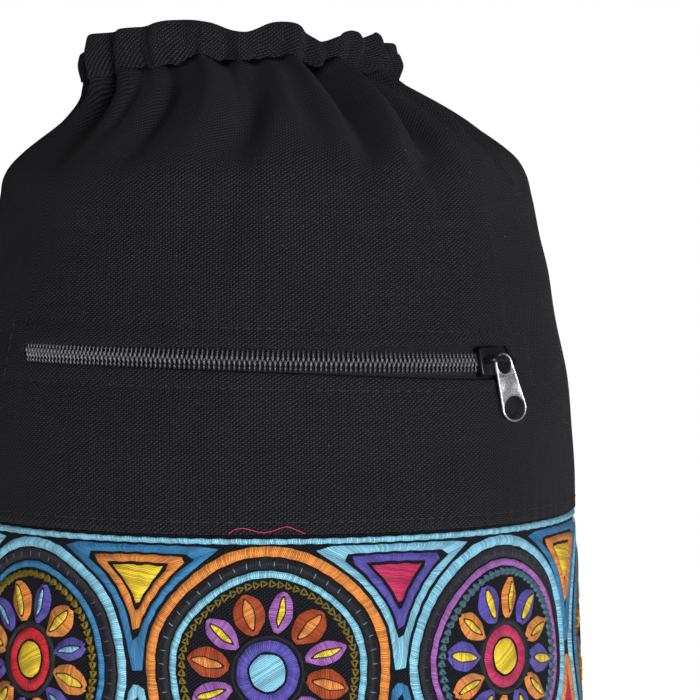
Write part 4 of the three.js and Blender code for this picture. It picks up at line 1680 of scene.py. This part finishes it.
class MATBAG_OT_zip(Operator):
    """Zip tape and the two interlocked rows of teeth"""

    bl_idname = "matbag.zip"
    bl_label = "Zip"

    def execute(self, context):
        settings = context.scene.matbag_zip
        mm_per_degree = math.radians(float(reach_at(np.array(float(ZIP_HEIGHT)))["front"]))
        tape_inset = CANVAS_WALL + GAP
        tape_turn = SLOT_HALF_TURN + TAPE_OVERLAP / mm_per_degree

        def place(u, v):
            turn = tape_turn * (2 * u - 1)
            rib = 0.06 * np.sin(v * TAPE_HEIGHT * 2.4)
            return zip_line(turn, TAPE_HEIGHT * (v - 0.5), tape_inset - rib)

        tape = sheet_mesh("zip_tape_cloth", 150, 20, place)
        twill = woven_material("Zip tape", TAPE_COLOUR, warp=0.5, weft=0.34, relief=0.12, waver=0.1)
        piece = add_piece("zip_tape_cloth", tape, [twill], replaces=["zip_tape"])
        thicken(piece, TAPE_THICKNESS * 0.7)
        pitch = settings.tooth_pitch / MM
        finish = {"metallic": 0.0, "roughness": 0.26, "grain": 1800, "relief": 0.03}
        nylon = hard_material("Zip nylon", tuple(settings.nylon_colour), **finish)
        thread = plain_thread_material("Zip thread", (0.03, 0.029, 0.034))
        head_inset = tape_inset - GAP - COIL_THICKNESS * 0.75
        for side, label in ((1, "upper"), (-1, "lower")):
            tooth = tooth_mesh(side)
            over = bead_mesh("coil_stitch", 0.62, 0.3, 0.3, 6, 4)
            bm = bmesh.new()
            sewn = bmesh.new()
            start = -SLOT_HALF_TURN * mm_per_degree + 0.8 + (pitch / 2 if side < 0 else 0)
            for at in np.arange(start, SLIDER_TURN * mm_per_degree, pitch):
                place = zip_frame(at / mm_per_degree, head_inset)
                stamp(bm, tooth, place)
                for out, lift in ((1.72, 0.3), (2.55, 0.02)):
                    spot = Matrix.Translation((0, side * out * MM, lift * MM))
                    stamp(sewn, over, place @ spot @ Matrix.Rotation(math.radians(-38 * side), 4, "Z"))
            coil = finish_bmesh(bm, f"zip_teeth_{label}")
            add_piece(f"zip_teeth_{label}", coil, [nylon], replaces=[f"zip_coil_{label}"])
            add_piece(f"zip_sewing_{label}", finish_bmesh(sewn, f"zip_sewing_{label}"), [thread])
        return {"FINISHED"}


def zip_frame(turn, inset):
    """Frame on the zip: X along it, Y up, Z out of the cloth, at the coil's height."""
    step = 0.4
    here = zip_line(turn, 0, inset)
    along = unit(zip_line(turn + step, 0, inset) - zip_line(turn - step, 0, inset))
    out = unit(np.cross(along, zip_line(turn, 1, inset) - zip_line(turn, -1, inset)))
    return frame_matrix(here, along, out)


# Wire of a tooth: its path out from the coil's far side to the centre line, and its radius on the way
TOOTH_PATH = table(
    "out rise radius",
    (-2.25, -0.5, 0.2),
    (-2.0, 0, 0.27),
    (-1.7, 0.08, 0.25),
    (-1.25, -0.28, 0.17),
    (-0.7, 0.42, 0.38),
    (-0.35, 0.34, 0.34),
    (0.05, 0, 0.25),
    (0.1, -0.4, 0.18),
)
TOOTH_SIDES = 7


def tooth_mesh(side):
    """One turn of the coil: a bent wire whose rounded head reaches past the centre line."""
    bm = bmesh.new()
    ring = bmesh.ops.create_circle(bm, cap_ends=True, segments=TOOTH_SIDES, radius=1)["verts"]
    section = [vert.co.copy() for vert in ring]
    face = list(bm.faces)
    for at, row in enumerate(TOOTH_PATH):
        if at:
            face = bmesh.ops.extrude_discrete_faces(bm, faces=face)["faces"]
            ring = list(face[0].verts)
        before = TOOTH_PATH[max(at - 1, 0)]
        after = TOOTH_PATH[min(at + 1, len(TOOTH_PATH) - 1)]
        lean = math.atan2(after["rise"] - before["rise"], after["out"] - before["out"])
        for vert, spot in zip(ring, section):
            flat = Vector((spot.x, -spot.y * math.sin(lean), spot.y * math.cos(lean))) * row["radius"]
            vert.co = (Vector((0, row["out"], row["rise"])) + flat) * MM
    bmesh.ops.scale(bm, vec=(1, -side, 1), verts=bm.verts)
    bmesh.ops.remove_doubles(bm, verts=bm.verts, dist=1e-7)
    bmesh.ops.recalc_face_normals(bm, faces=bm.faces)
    return finish_bmesh(bm, "tooth")


def seat_frames():
    """Frames of the slider and the pull tab, worked out as in the part."""
    turn = np.array(float(SLIDER_TURN))
    height = zip_line_height(turn)
    normal = tube_normal(turn, height)
    a = math.radians(SLIDER_TURN)
    along = np.array([math.cos(a), math.sin(a), 0.0])
    along = along - normal * along.dot(normal)
    along[2] = 0
    along = unit(along)
    out = unit(normal - along * normal.dot(along))
    up = np.cross(out, along)
    here = cloth_point(turn, height)
    slider = Matrix((along, up, out)).transposed().to_4x4()
    slider.translation = Vector(here * MM)
    coil_inset = CANVAS_WALL - COIL_THICKNESS
    plate_bottom = GAP - coil_inset
    plate_top = plate_bottom + SLIDER_PLATE
    upright = np.array([0.0, 0.0, 1.0])
    tab = Matrix((along, upright, np.cross(along, upright))).transposed().to_4x4()
    pin = here + out * (plate_top + TAB_LIFT) + along * (BRIDGE_START + BRIDGE_LENGTH)
    tab.translation = Vector(pin * MM)
    lean = Matrix.Rotation(math.radians(TAB_LEAN), 4, "Z")
    facing = Matrix.Rotation(math.radians(-TAB_FACING), 4, "Y")
    pitch = Matrix.Rotation(math.radians(-TAB_PITCH), 4, "X")
    return slider, tab @ pitch @ facing @ lean, plate_bottom, plate_top


def outline_face(bm, points, z):
    """A flat face through points in mm."""
    return bm.faces.new([bm.verts.new(Vector((x, y, z)) * MM) for x, y in points])


def tube_along(points, radius, around, name, closed=False):
    """A round bar along a path, as a mesh."""
    line = bpy.data.curves.new(name, "CURVE")
    line.dimensions = "3D"
    line.bevel_depth = radius * MM
    line.bevel_resolution = around
    line.resolution_u = 6
    line.use_fill_caps = not closed
    spline = line.splines.new("NURBS")
    spline.points.add(len(points) - 1)
    spline.order_u = 4
    spline.use_endpoint_u = not closed
    spline.use_cyclic_u = closed
    for point, place in zip(spline.points, points):
        point.co = (*(Vector(place) * MM), 1)
    holder = bpy.data.objects.new(name, line)
    mesh = bpy.data.meshes.new_from_object(holder)
    bpy.data.objects.remove(holder)
    bpy.data.curves.remove(line)
    return mesh


# Half outline of the slider's plate, in halves of its length and width
SLIDER_OUTLINE = (
    (-1, 0.86),
    (-0.96, 0.96),
    (-0.84, 1),
    (0.1, 1),
    (0.49, 0.93),
    (0.75, 0.8),
    (0.88, 0.62),
    (0.94, 0.34),
)

# Path of the bridge up and over, and down at its far end, in shares of its length and clearance
BRIDGE_END = ((0, -0.4), (0, 0.35), (0, 0.75), (0.04, 0.93), (0.16, 1.02), (0.4, 1.05))
BRIDGE_FAR_END = ((0.62, 1.05), (0.84, 1.02), (0.96, 0.93), (1, 0.75), (1, 0.35), (1, -0.4))


def round_edges(bm, edges, size, segments):
    """Rounds the edges, size in millimetres."""
    bmesh.ops.bevel(
        bm,
        geom=edges,
        offset=size * MM,
        segments=segments,
        profile=0.5,
        affect="EDGES",
        material=-1,
        clamp_overlap=True,
    )


class MATBAG_OT_slider(Operator):
    """Zip slider with its flanges and bridge"""

    bl_idname = "matbag.slider"
    bl_label = "Zip slider"

    def execute(self, context):
        slider, _, bottom, top = seat_frames()
        half = SLIDER_LENGTH / 2
        wide = SLIDER_WIDTH / 2
        lower = [(x * half, -y * wide) for x, y in SLIDER_OUTLINE]
        upper = [(x * half, y * wide) for x, y in reversed(SLIDER_OUTLINE)]
        bm = bmesh.new()
        plate = outline_face(bm, lower + upper, bottom)
        grown = bmesh.ops.extrude_face_region(bm, geom=[plate])["geom"]
        raised = verts_of(grown)
        bmesh.ops.translate(bm, vec=(0, 0, SLIDER_PLATE * MM), verts=raised)
        bmesh.ops.recalc_face_normals(bm, faces=bm.faces)
        rim = [e for e in bm.edges if all(v.co.z > bottom * MM + 1e-6 for v in e.verts)]
        round_edges(bm, rim, 0.42, 3)
        depth = bottom + CANVAS_WALL
        for side in (-1, 1):
            wall = bmesh.ops.create_cube(bm, size=MM)["verts"]
            bmesh.ops.scale(bm, vec=(FLANGE_LENGTH, FLANGE_THICKNESS, depth + 0.4), verts=wall)
            middle = bottom - (depth - 0.4) / 2
            shift = Vector((FLANGE_SHIFT, side * (SLIDER_WIDTH - FLANGE_THICKNESS) / 2, middle)) * MM
            bmesh.ops.translate(bm, vec=shift, verts=wall)
        path = BRIDGE_END + BRIDGE_FAR_END
        points = [(BRIDGE_START + BRIDGE_LENGTH * x, 0, top + BRIDGE_CLEAR * z) for x, z in path]
        bridge = tube_along(points, BRIDGE_RADIUS * 1.1, 3, "bridge")
        stamp(bm, bridge, Matrix.Diagonal((1, 1.5, 1, 1)))
        bmesh.ops.transform(bm, matrix=slider, verts=bm.verts)
        finish = {"metallic": 0.0, "roughness": 0.36, "grain": 1500, "relief": 0.01, "wear": 0.01}
        black = hard_material("Slider black", (0.003, 0.003, 0.004), **finish)
        mesh = finish_bmesh(bm, "zip_slider_body")
        add_piece("zip_slider_body", mesh, [black], replaces=["zip_slider"])
        return {"FINISHED"}


class MATBAG_OT_pull_tab(Operator):
    """Silver pull tab with its eye, pebbled plate and round hole"""

    bl_idname = "matbag.pull_tab"
    bl_label = "Pull tab"

    def execute(self, context):
        _, tab, _, _ = seat_frames()
        eye_y = TAB_EYE_ABOVE - TAB_EYE_HALF_HEIGHT
        outer_x = TAB_EYE_HALF_WIDTH + TAB_RIM
        outer_y = TAB_EYE_HALF_HEIGHT + TAB_RIM
        hole_outer = TAB_HOLE_RADIUS + TAB_RIM
        hole_y = eye_y + outer_y - TAB_LENGTH + hole_outer
        arc = [math.pi * k / 14 for k in range(15)]
        outline = [(outer_x * math.cos(a), eye_y + outer_y * math.sin(a)) for a in arc]
        outline += [(-hole_outer * math.cos(a), hole_y - hole_outer * math.sin(a)) for a in arc]
        full = [2 * math.pi * k / 28 for k in range(28)]
        eye = [(TAB_EYE_HALF_WIDTH * math.cos(a), eye_y + TAB_EYE_HALF_HEIGHT * math.sin(a)) for a in full]
        hole = [(TAB_HOLE_RADIUS * math.cos(a), hole_y + TAB_HOLE_RADIUS * math.sin(a)) for a in full]
        bm = bmesh.new()
        for ring in (outline, eye, hole):
            verts = [bm.verts.new(Vector((x, y, -TAB_THICKNESS / 2)) * MM) for x, y in ring]
            for k, vert in enumerate(verts):
                bm.edges.new((vert, verts[(k + 1) % len(verts)]))
        bmesh.ops.triangle_fill(bm, use_beauty=True, use_dissolve=True, edges=bm.edges[:])
        grown = bmesh.ops.extrude_face_region(bm, geom=bm.faces[:])["geom"]
        raised = verts_of(grown)
        bmesh.ops.translate(bm, vec=(0, 0, TAB_THICKNESS * MM), verts=raised)
        bmesh.ops.recalc_face_normals(bm, faces=bm.faces)
        sharp = [e for e in bm.edges if e.is_manifold and e.calc_face_angle(0) > 1]
        round_edges(bm, sharp, 0.12, 2)
        plate_faces = len(bm.faces)
        for rim in rim_meshes(eye_y, hole_y):
            stamp(bm, rim, Matrix())
        rim_faces = len(bm.faces)
        field = tab_field(eye_y - outer_y, hole_y)
        for side in (1, -1):
            stamp(bm, field, Matrix.Diagonal((1, 1, side, 1)))
        bm.faces.ensure_lookup_table()
        for face in bm.faces[plate_faces:rim_faces]:
            face.material_index = 1
        for face in bm.faces[rim_faces:]:
            face.material_index = 2
        bmesh.ops.recalc_face_normals(bm, faces=bm.faces[rim_faces:])
        bmesh.ops.transform(bm, matrix=tab, verts=bm.verts)
        silver = tuple(context.scene.matbag_zip.silver_colour)
        # Painted shade: the plate body is made dark, so that it shows as a dark line in the groove between
        # the rims and the pebbled field; its sides and back are dark too.
        shaded_silver = tuple(0.22 * c for c in silver)
        pale = tuple(1.1 * c for c in silver)
        shaded_plate = hard_material("Dull silver", shaded_silver, 1, roughness=0.4, grain=1200, relief=0.02)
        bright = hard_material("Bright silver", silver, 1, roughness=0.3, grain=900, relief=0.003)
        # Painted shade: the pebbled field's dark speckles lie in the pits of its bump.
        grain = {"roughness": 0.62, "grain": 3600, "relief": 0.1, "grain_and_pit_shade": 1.8}
        pebbled = hard_material("Pebbled silver", pale, 1, **grain)
        metals = [shaded_plate, bright, pebbled]
        mesh = finish_bmesh(bm, "pull_tab_plate")
        add_piece("pull_tab_plate", mesh, metals, body="tab", replaces=["pull_tab"])
        return {"FINISHED"}


def tab_half_width(y, eye_y, hole_y):
    """Half width of the tab between the middles of its eye and its hole."""
    share = (eye_y - y) / (eye_y - hole_y)
    eye_half = TAB_EYE_HALF_WIDTH + TAB_RIM
    return eye_half + (TAB_HOLE_RADIUS + TAB_RIM - eye_half) * share


def tab_field(top, hole_y):
    """The raised pebbled field between the eye and the hole, on the tab's upper face."""
    eye_y = TAB_EYE_ABOVE - TAB_EYE_HALF_HEIGHT
    inset = 0.62
    top_y = top - 0.1
    clear = TAB_HOLE_RADIUS + 0.55
    corners = [(tab_half_width(top_y, eye_y, hole_y) - inset, top_y)]
    side_y = hole_y + 1.9
    corners.append((tab_half_width(side_y, eye_y, hole_y) - inset, side_y))
    reach = corners[-1][0]
    for k in range(7):
        x = reach * (1 - k / 6) * 0.96
        corners.append((x, hole_y + math.sqrt(max(clear * clear - x * x, 0))))
    left = [(-x, y) for x, y in reversed(corners[:-1])]
    bm = bmesh.new()
    face = outline_face(bm, corners + left, TAB_THICKNESS / 2 - 0.05)
    grown = bmesh.ops.extrude_face_region(bm, geom=[face])["geom"]
    raised = verts_of(grown)
    bmesh.ops.translate(bm, vec=(0, 0, 0.2 * MM), verts=raised)
    bmesh.ops.recalc_face_normals(bm, faces=bm.faces)
    return finish_bmesh(bm, "tab_field")


def rim_meshes(eye_y, hole_y):
    """Raised rims of the tab on both faces: round its eye and its hole, and down its two sides."""
    rims = []
    full = [2 * math.pi * k / 24 for k in range(24)]
    eye_x = TAB_EYE_HALF_WIDTH + TAB_RIM / 2
    eye_h = TAB_EYE_HALF_HEIGHT + TAB_RIM / 2
    hole_r = TAB_HOLE_RADIUS + TAB_RIM / 2
    for side in (-1, 1):
        z = side * TAB_THICKNESS / 2
        eye = [(eye_x * math.cos(a), eye_y + eye_h * math.sin(a), z) for a in full]
        hole = [(hole_r * math.cos(a), hole_y + hole_r * math.sin(a), z) for a in full]
        rims.append(tube_along(eye, 0.2, 2, "eye_rim", True))
        rims.append(tube_along(hole, 0.2, 2, "hole_rim", True))
        for edge in (-1, 1):
            ys = [eye_y + (hole_y - eye_y) * k / 5 for k in range(6)]
            line = [(edge * (tab_half_width(y, eye_y, hole_y) - TAB_RIM / 2), y, z) for y in ys]
            rims.append(tube_along(line, 0.2, 2, "side_rim"))
    return rims


class MATBAG_OT_strap(Operator):
    """Webbing shoulder strap down the back, with the stitching that holds its ends"""

    bl_idname = "matbag.strap"
    bl_label = "Shoulder strap"

    def execute(self, context):
        rise = STRAP_HEAD - STRAP_FOOT
        sewn = STRAP_SEWN / rise
        rows = [{"up": 0, "out": 0}, {"up": sewn / 2, "out": 0}]
        rows += [row for row in STRAP_PATH if sewn < row["up"] < 1 - sewn]
        rows += [{"up": 1 - sewn / 2, "out": 0}, {"up": 1, "out": 0}]

        def back_of(height):
            return cloth_point(np.full(np.shape(height), 180.0), np.asarray(height, float))[..., 1]

        def place(u, v):
            up = v
            height = STRAP_FOOT + rise * up
            lift = STRAP_BOW * column_at(rows, "up", "out", up)
            x = (u - 0.5) * STRAP_WIDTH
            curl = np.exp(-lift / STRAP_CURL_FADE)
            turn = 180 - np.degrees(np.arcsin(x / reach_at(height)["right"]))
            drop = curl * (back_of(height) - cloth_point(turn, height)[..., 1])
            cup = (1 - curl) * 1.2 * (2 * u - 1) ** 2
            y = back_of(height) + GAP + STRAP_THICKNESS * 0.9 + lift - drop + cup
            return np.stack([x, y, height], axis=-1)

        mesh = sheet_mesh("strap_webbing", 22, 160, place)
        bm = bmesh.new()
        bm.from_mesh(mesh)
        if sum(f.normal.y * f.calc_area() for f in bm.faces) < 0:
            bmesh.ops.reverse_faces(bm, faces=bm.faces)
        bm.to_mesh(mesh)
        bm.free()
        colour = tuple(context.scene.matbag_cloth.webbing_colour)
        webbing = woven_material("Webbing", colour, warp=1.15, weft=0.85, relief=0.35, waver=0.08)
        piece = add_piece("strap_webbing", mesh, [webbing], replaces=["shoulder_strap"])
        thicken(piece, STRAP_THICKNESS * 0.8)
        soft = piece.modifiers.new("Edge", "BEVEL")
        soft.width = 0.5 * MM
        soft.segments = 2
        soft.limit_method = "ANGLE"
        length = run_lengths(place(np.full((400, 1), 0.5), np.linspace(0, 1, 400)[:, None]), 0)[-1, 0] * MM
        thread = plain_thread_material("Strap thread", (0.05, 0.048, 0.055))
        stitch = bead_mesh("strap_stitch", 2.6, 0.5, 0.4)
        bm = bmesh.new()
        for low in (STRAP_FOOT + 3, STRAP_HEAD - STRAP_SEWN + 1):
            for x, y, tilt in box_stitches(STRAP_WIDTH - 8, STRAP_SEWN - 5):
                up = (low + y - STRAP_FOOT) / rise
                u = np.array([[x / STRAP_WIDTH + 0.5]])
                spot = place(u, np.array([[up]]))[0, 0]
                side = place(u + 0.01, np.array([[up]]))[0, 0]
                rise_by = place(u, np.array([[up + 0.002]]))[0, 0]
                around = unit(side - spot)
                out = -unit(np.cross(around, rise_by - spot))
                matrix = frame_matrix(spot + out * 0.05, around, out)
                stamp(bm, stitch, matrix @ Matrix.Rotation(math.radians(tilt), 4, "Z"))
        add_piece("strap_sewing", finish_bmesh(bm, "strap_sewing"), [thread])
        return {"FINISHED"}


def box_stitches(width, height):
    """Stitches of a box with a cross in it: each one's place and tilt."""
    corners = [(-width / 2, 0), (width / 2, 0), (width / 2, height), (-width / 2, height)]
    lines = [(corners[k], corners[(k + 1) % 4]) for k in range(4)]
    lines += [(corners[0], corners[2]), (corners[1], corners[3])]
    spots = []
    for (x0, y0), (x1, y1) in lines:
        length = math.hypot(x1 - x0, y1 - y0)
        tilt = math.degrees(math.atan2(y1 - y0, x1 - x0))
        count = max(int(length / 3.2), 2)
        for k in range(count):
            share = (k + 0.5) / count
            spots.append((x0 + (x1 - x0) * share, y0 + (y1 - y0) * share, tilt))
    return spots


# Lamps, in metres and watts
LIGHTS = table(
    "name place aim size power",
    ("key", (0.55, -2.1, 0.35), (0, 0, 0.52), 0.7, 46),
    ("fill", (-1.5, -1.3, 0.9), (0, 0, 0.5), 1.2, 1.5),
    ("back", (0.1, 2.1, 0.5), (0, 0, 0.45), 0.9, 26),
)
FLOOR_RADIUS = 2.6
FLOOR_PALENESS = 0.6
CAMERA_AIM = (0.0231, 0, 0.5871)
SENSOR_WIDTH = 36
LENS = 127.54
NEAREST_SEEN = 0.01


def aim_object(name, data, place, aim):
    """Puts a lamp or camera in the scene, turned towards a point."""
    holder = bpy.data.objects.new(name, data)
    holder.location = place
    holder.rotation_euler = (Vector(aim) - holder.location).to_track_quat("-Z", "Y").to_euler()
    bpy.context.scene.collection.objects.link(holder)
    return holder


def studio_world(strength):
    """Even light from all round, seen by the camera as plain white."""
    world = bpy.data.worlds.new("Studio")
    world.use_nodes = True
    tree = world.node_tree
    light = tree.nodes["Background"]
    light.inputs["Color"].default_value = (1, 1, 1, 1)
    light.inputs["Strength"].default_value = strength
    white = add_node(tree, "ShaderNodeBackground", {"Color": (1, 1, 1, 1), "Strength": 1.0})
    seen = add_node(tree, "ShaderNodeLightPath").outputs["Is Camera Ray"]
    mix = add_node(tree, "ShaderNodeMixShader", {0: seen, 1: light.outputs[0], 2: white.outputs[0]})
    tree.links.new(mix.outputs[0], tree.nodes["World Output"].inputs["Surface"])
    return world


def floor_material(colour):
    """Pale floor, seen paler than the low lights leave it, which gives the bag no more light."""
    material, tree, shader = new_material("Pale floor")
    shader.inputs["Base Color"].default_value = colour
    shader.inputs["Roughness"].default_value = 0.7
    pale = add_node(tree, "ShaderNodeEmission", {"Color": colour, "Strength": 1.0})
    seen = add_node(tree, "ShaderNodeLightPath").outputs["Is Camera Ray"]
    share = maths(tree, "MULTIPLY", seen, FLOOR_PALENESS)
    mix = add_node(tree, "ShaderNodeMixShader", {0: share, 1: shader.outputs[0], 2: pale.outputs[0]})
    tree.links.new(mix.outputs[0], tree.nodes["Material Output"].inputs["Surface"])
    return material


class MATBAG_OT_stage(Operator):
    """Floor, light and camera"""

    bl_idname = "matbag.stage"
    bl_label = "Stage"

    def execute(self, context):
        settings = context.scene.matbag_stage
        scene = context.scene
        scene.view_settings.view_transform = "Standard"
        scene.world = studio_world(settings.room_light)
        bm = bmesh.new()
        bmesh.ops.create_circle(bm, cap_ends=True, segments=96, radius=FLOOR_RADIUS)
        floor = bpy.data.objects.new("floor", finish_bmesh(bm, "floor"))
        scene.collection.objects.link(floor)
        floor.data.materials.append(floor_material((*settings.floor_colour, 1)))
        for row in LIGHTS:
            lamp = bpy.data.lights.new(row["name"], "AREA")
            lamp.size = row["size"]
            lamp.energy = row["power"]
            aim_object(row["name"], lamp, row["place"], row["aim"])
        camera = bpy.data.cameras.new("photo")
        camera.sensor_width = SENSOR_WIDTH
        camera.lens = LENS
        camera.clip_start = NEAREST_SEEN
        place = (0, -settings.camera_distance, settings.camera_height)
        scene.camera = aim_object("photo", camera, place, CAMERA_AIM)
        return {"FINISHED"}


OPERATORS = (
    MATBAG_OT_upper_canvas,
    MATBAG_OT_casing,
    MATBAG_OT_stitching,
    MATBAG_OT_panel,
    MATBAG_OT_loose_thread,
    MATBAG_OT_base,
    MATBAG_OT_zip,
    MATBAG_OT_slider,
    MATBAG_OT_pull_tab,
    MATBAG_OT_strap,
    MATBAG_OT_stage,
)

SETTINGS = {
    "matbag_cloth": MatBagCloth,
    "matbag_zip": MatBagZip,
    "matbag_embroidery": MatBagEmbroidery,
    "matbag_stage": MatBagStage,
}


class MATBAG_PT_panel(Panel):
    """Lists the steps that build the bag"""

    bl_idname = "MATBAG_PT_panel"
    bl_label = "Mat Bag"
    bl_space_type = "VIEW_3D"
    bl_region_type = "UI"
    bl_category = "Mat Bag"

    def draw(self, context):
        for operator in OPERATORS:
            self.layout.operator(operator.bl_idname)
        for name in SETTINGS:
            group = getattr(context.scene, name)
            box = self.layout.box()
            for key in group.__annotations__:
                box.prop(group, key)


def register():
    for cls in (*SETTINGS.values(), *OPERATORS, MATBAG_PT_panel):
        bpy.utils.register_class(cls)
    for name, cls in SETTINGS.items():
        setattr(bpy.types.Scene, name, PointerProperty(type=cls))


def unregister():
    for name in SETTINGS:
        delattr(bpy.types.Scene, name)
    for cls in (MATBAG_PT_panel, *reversed(OPERATORS), *reversed(list(SETTINGS.values()))):
        bpy.utils.unregister_class(cls)


def main():
    register()
    for operator in OPERATORS:
        group, name = operator.bl_idname.split(".")
        getattr(getattr(bpy.ops, group), name)()
    bpy.context.view_layer.update()


if __name__ == "__main__":
    main()
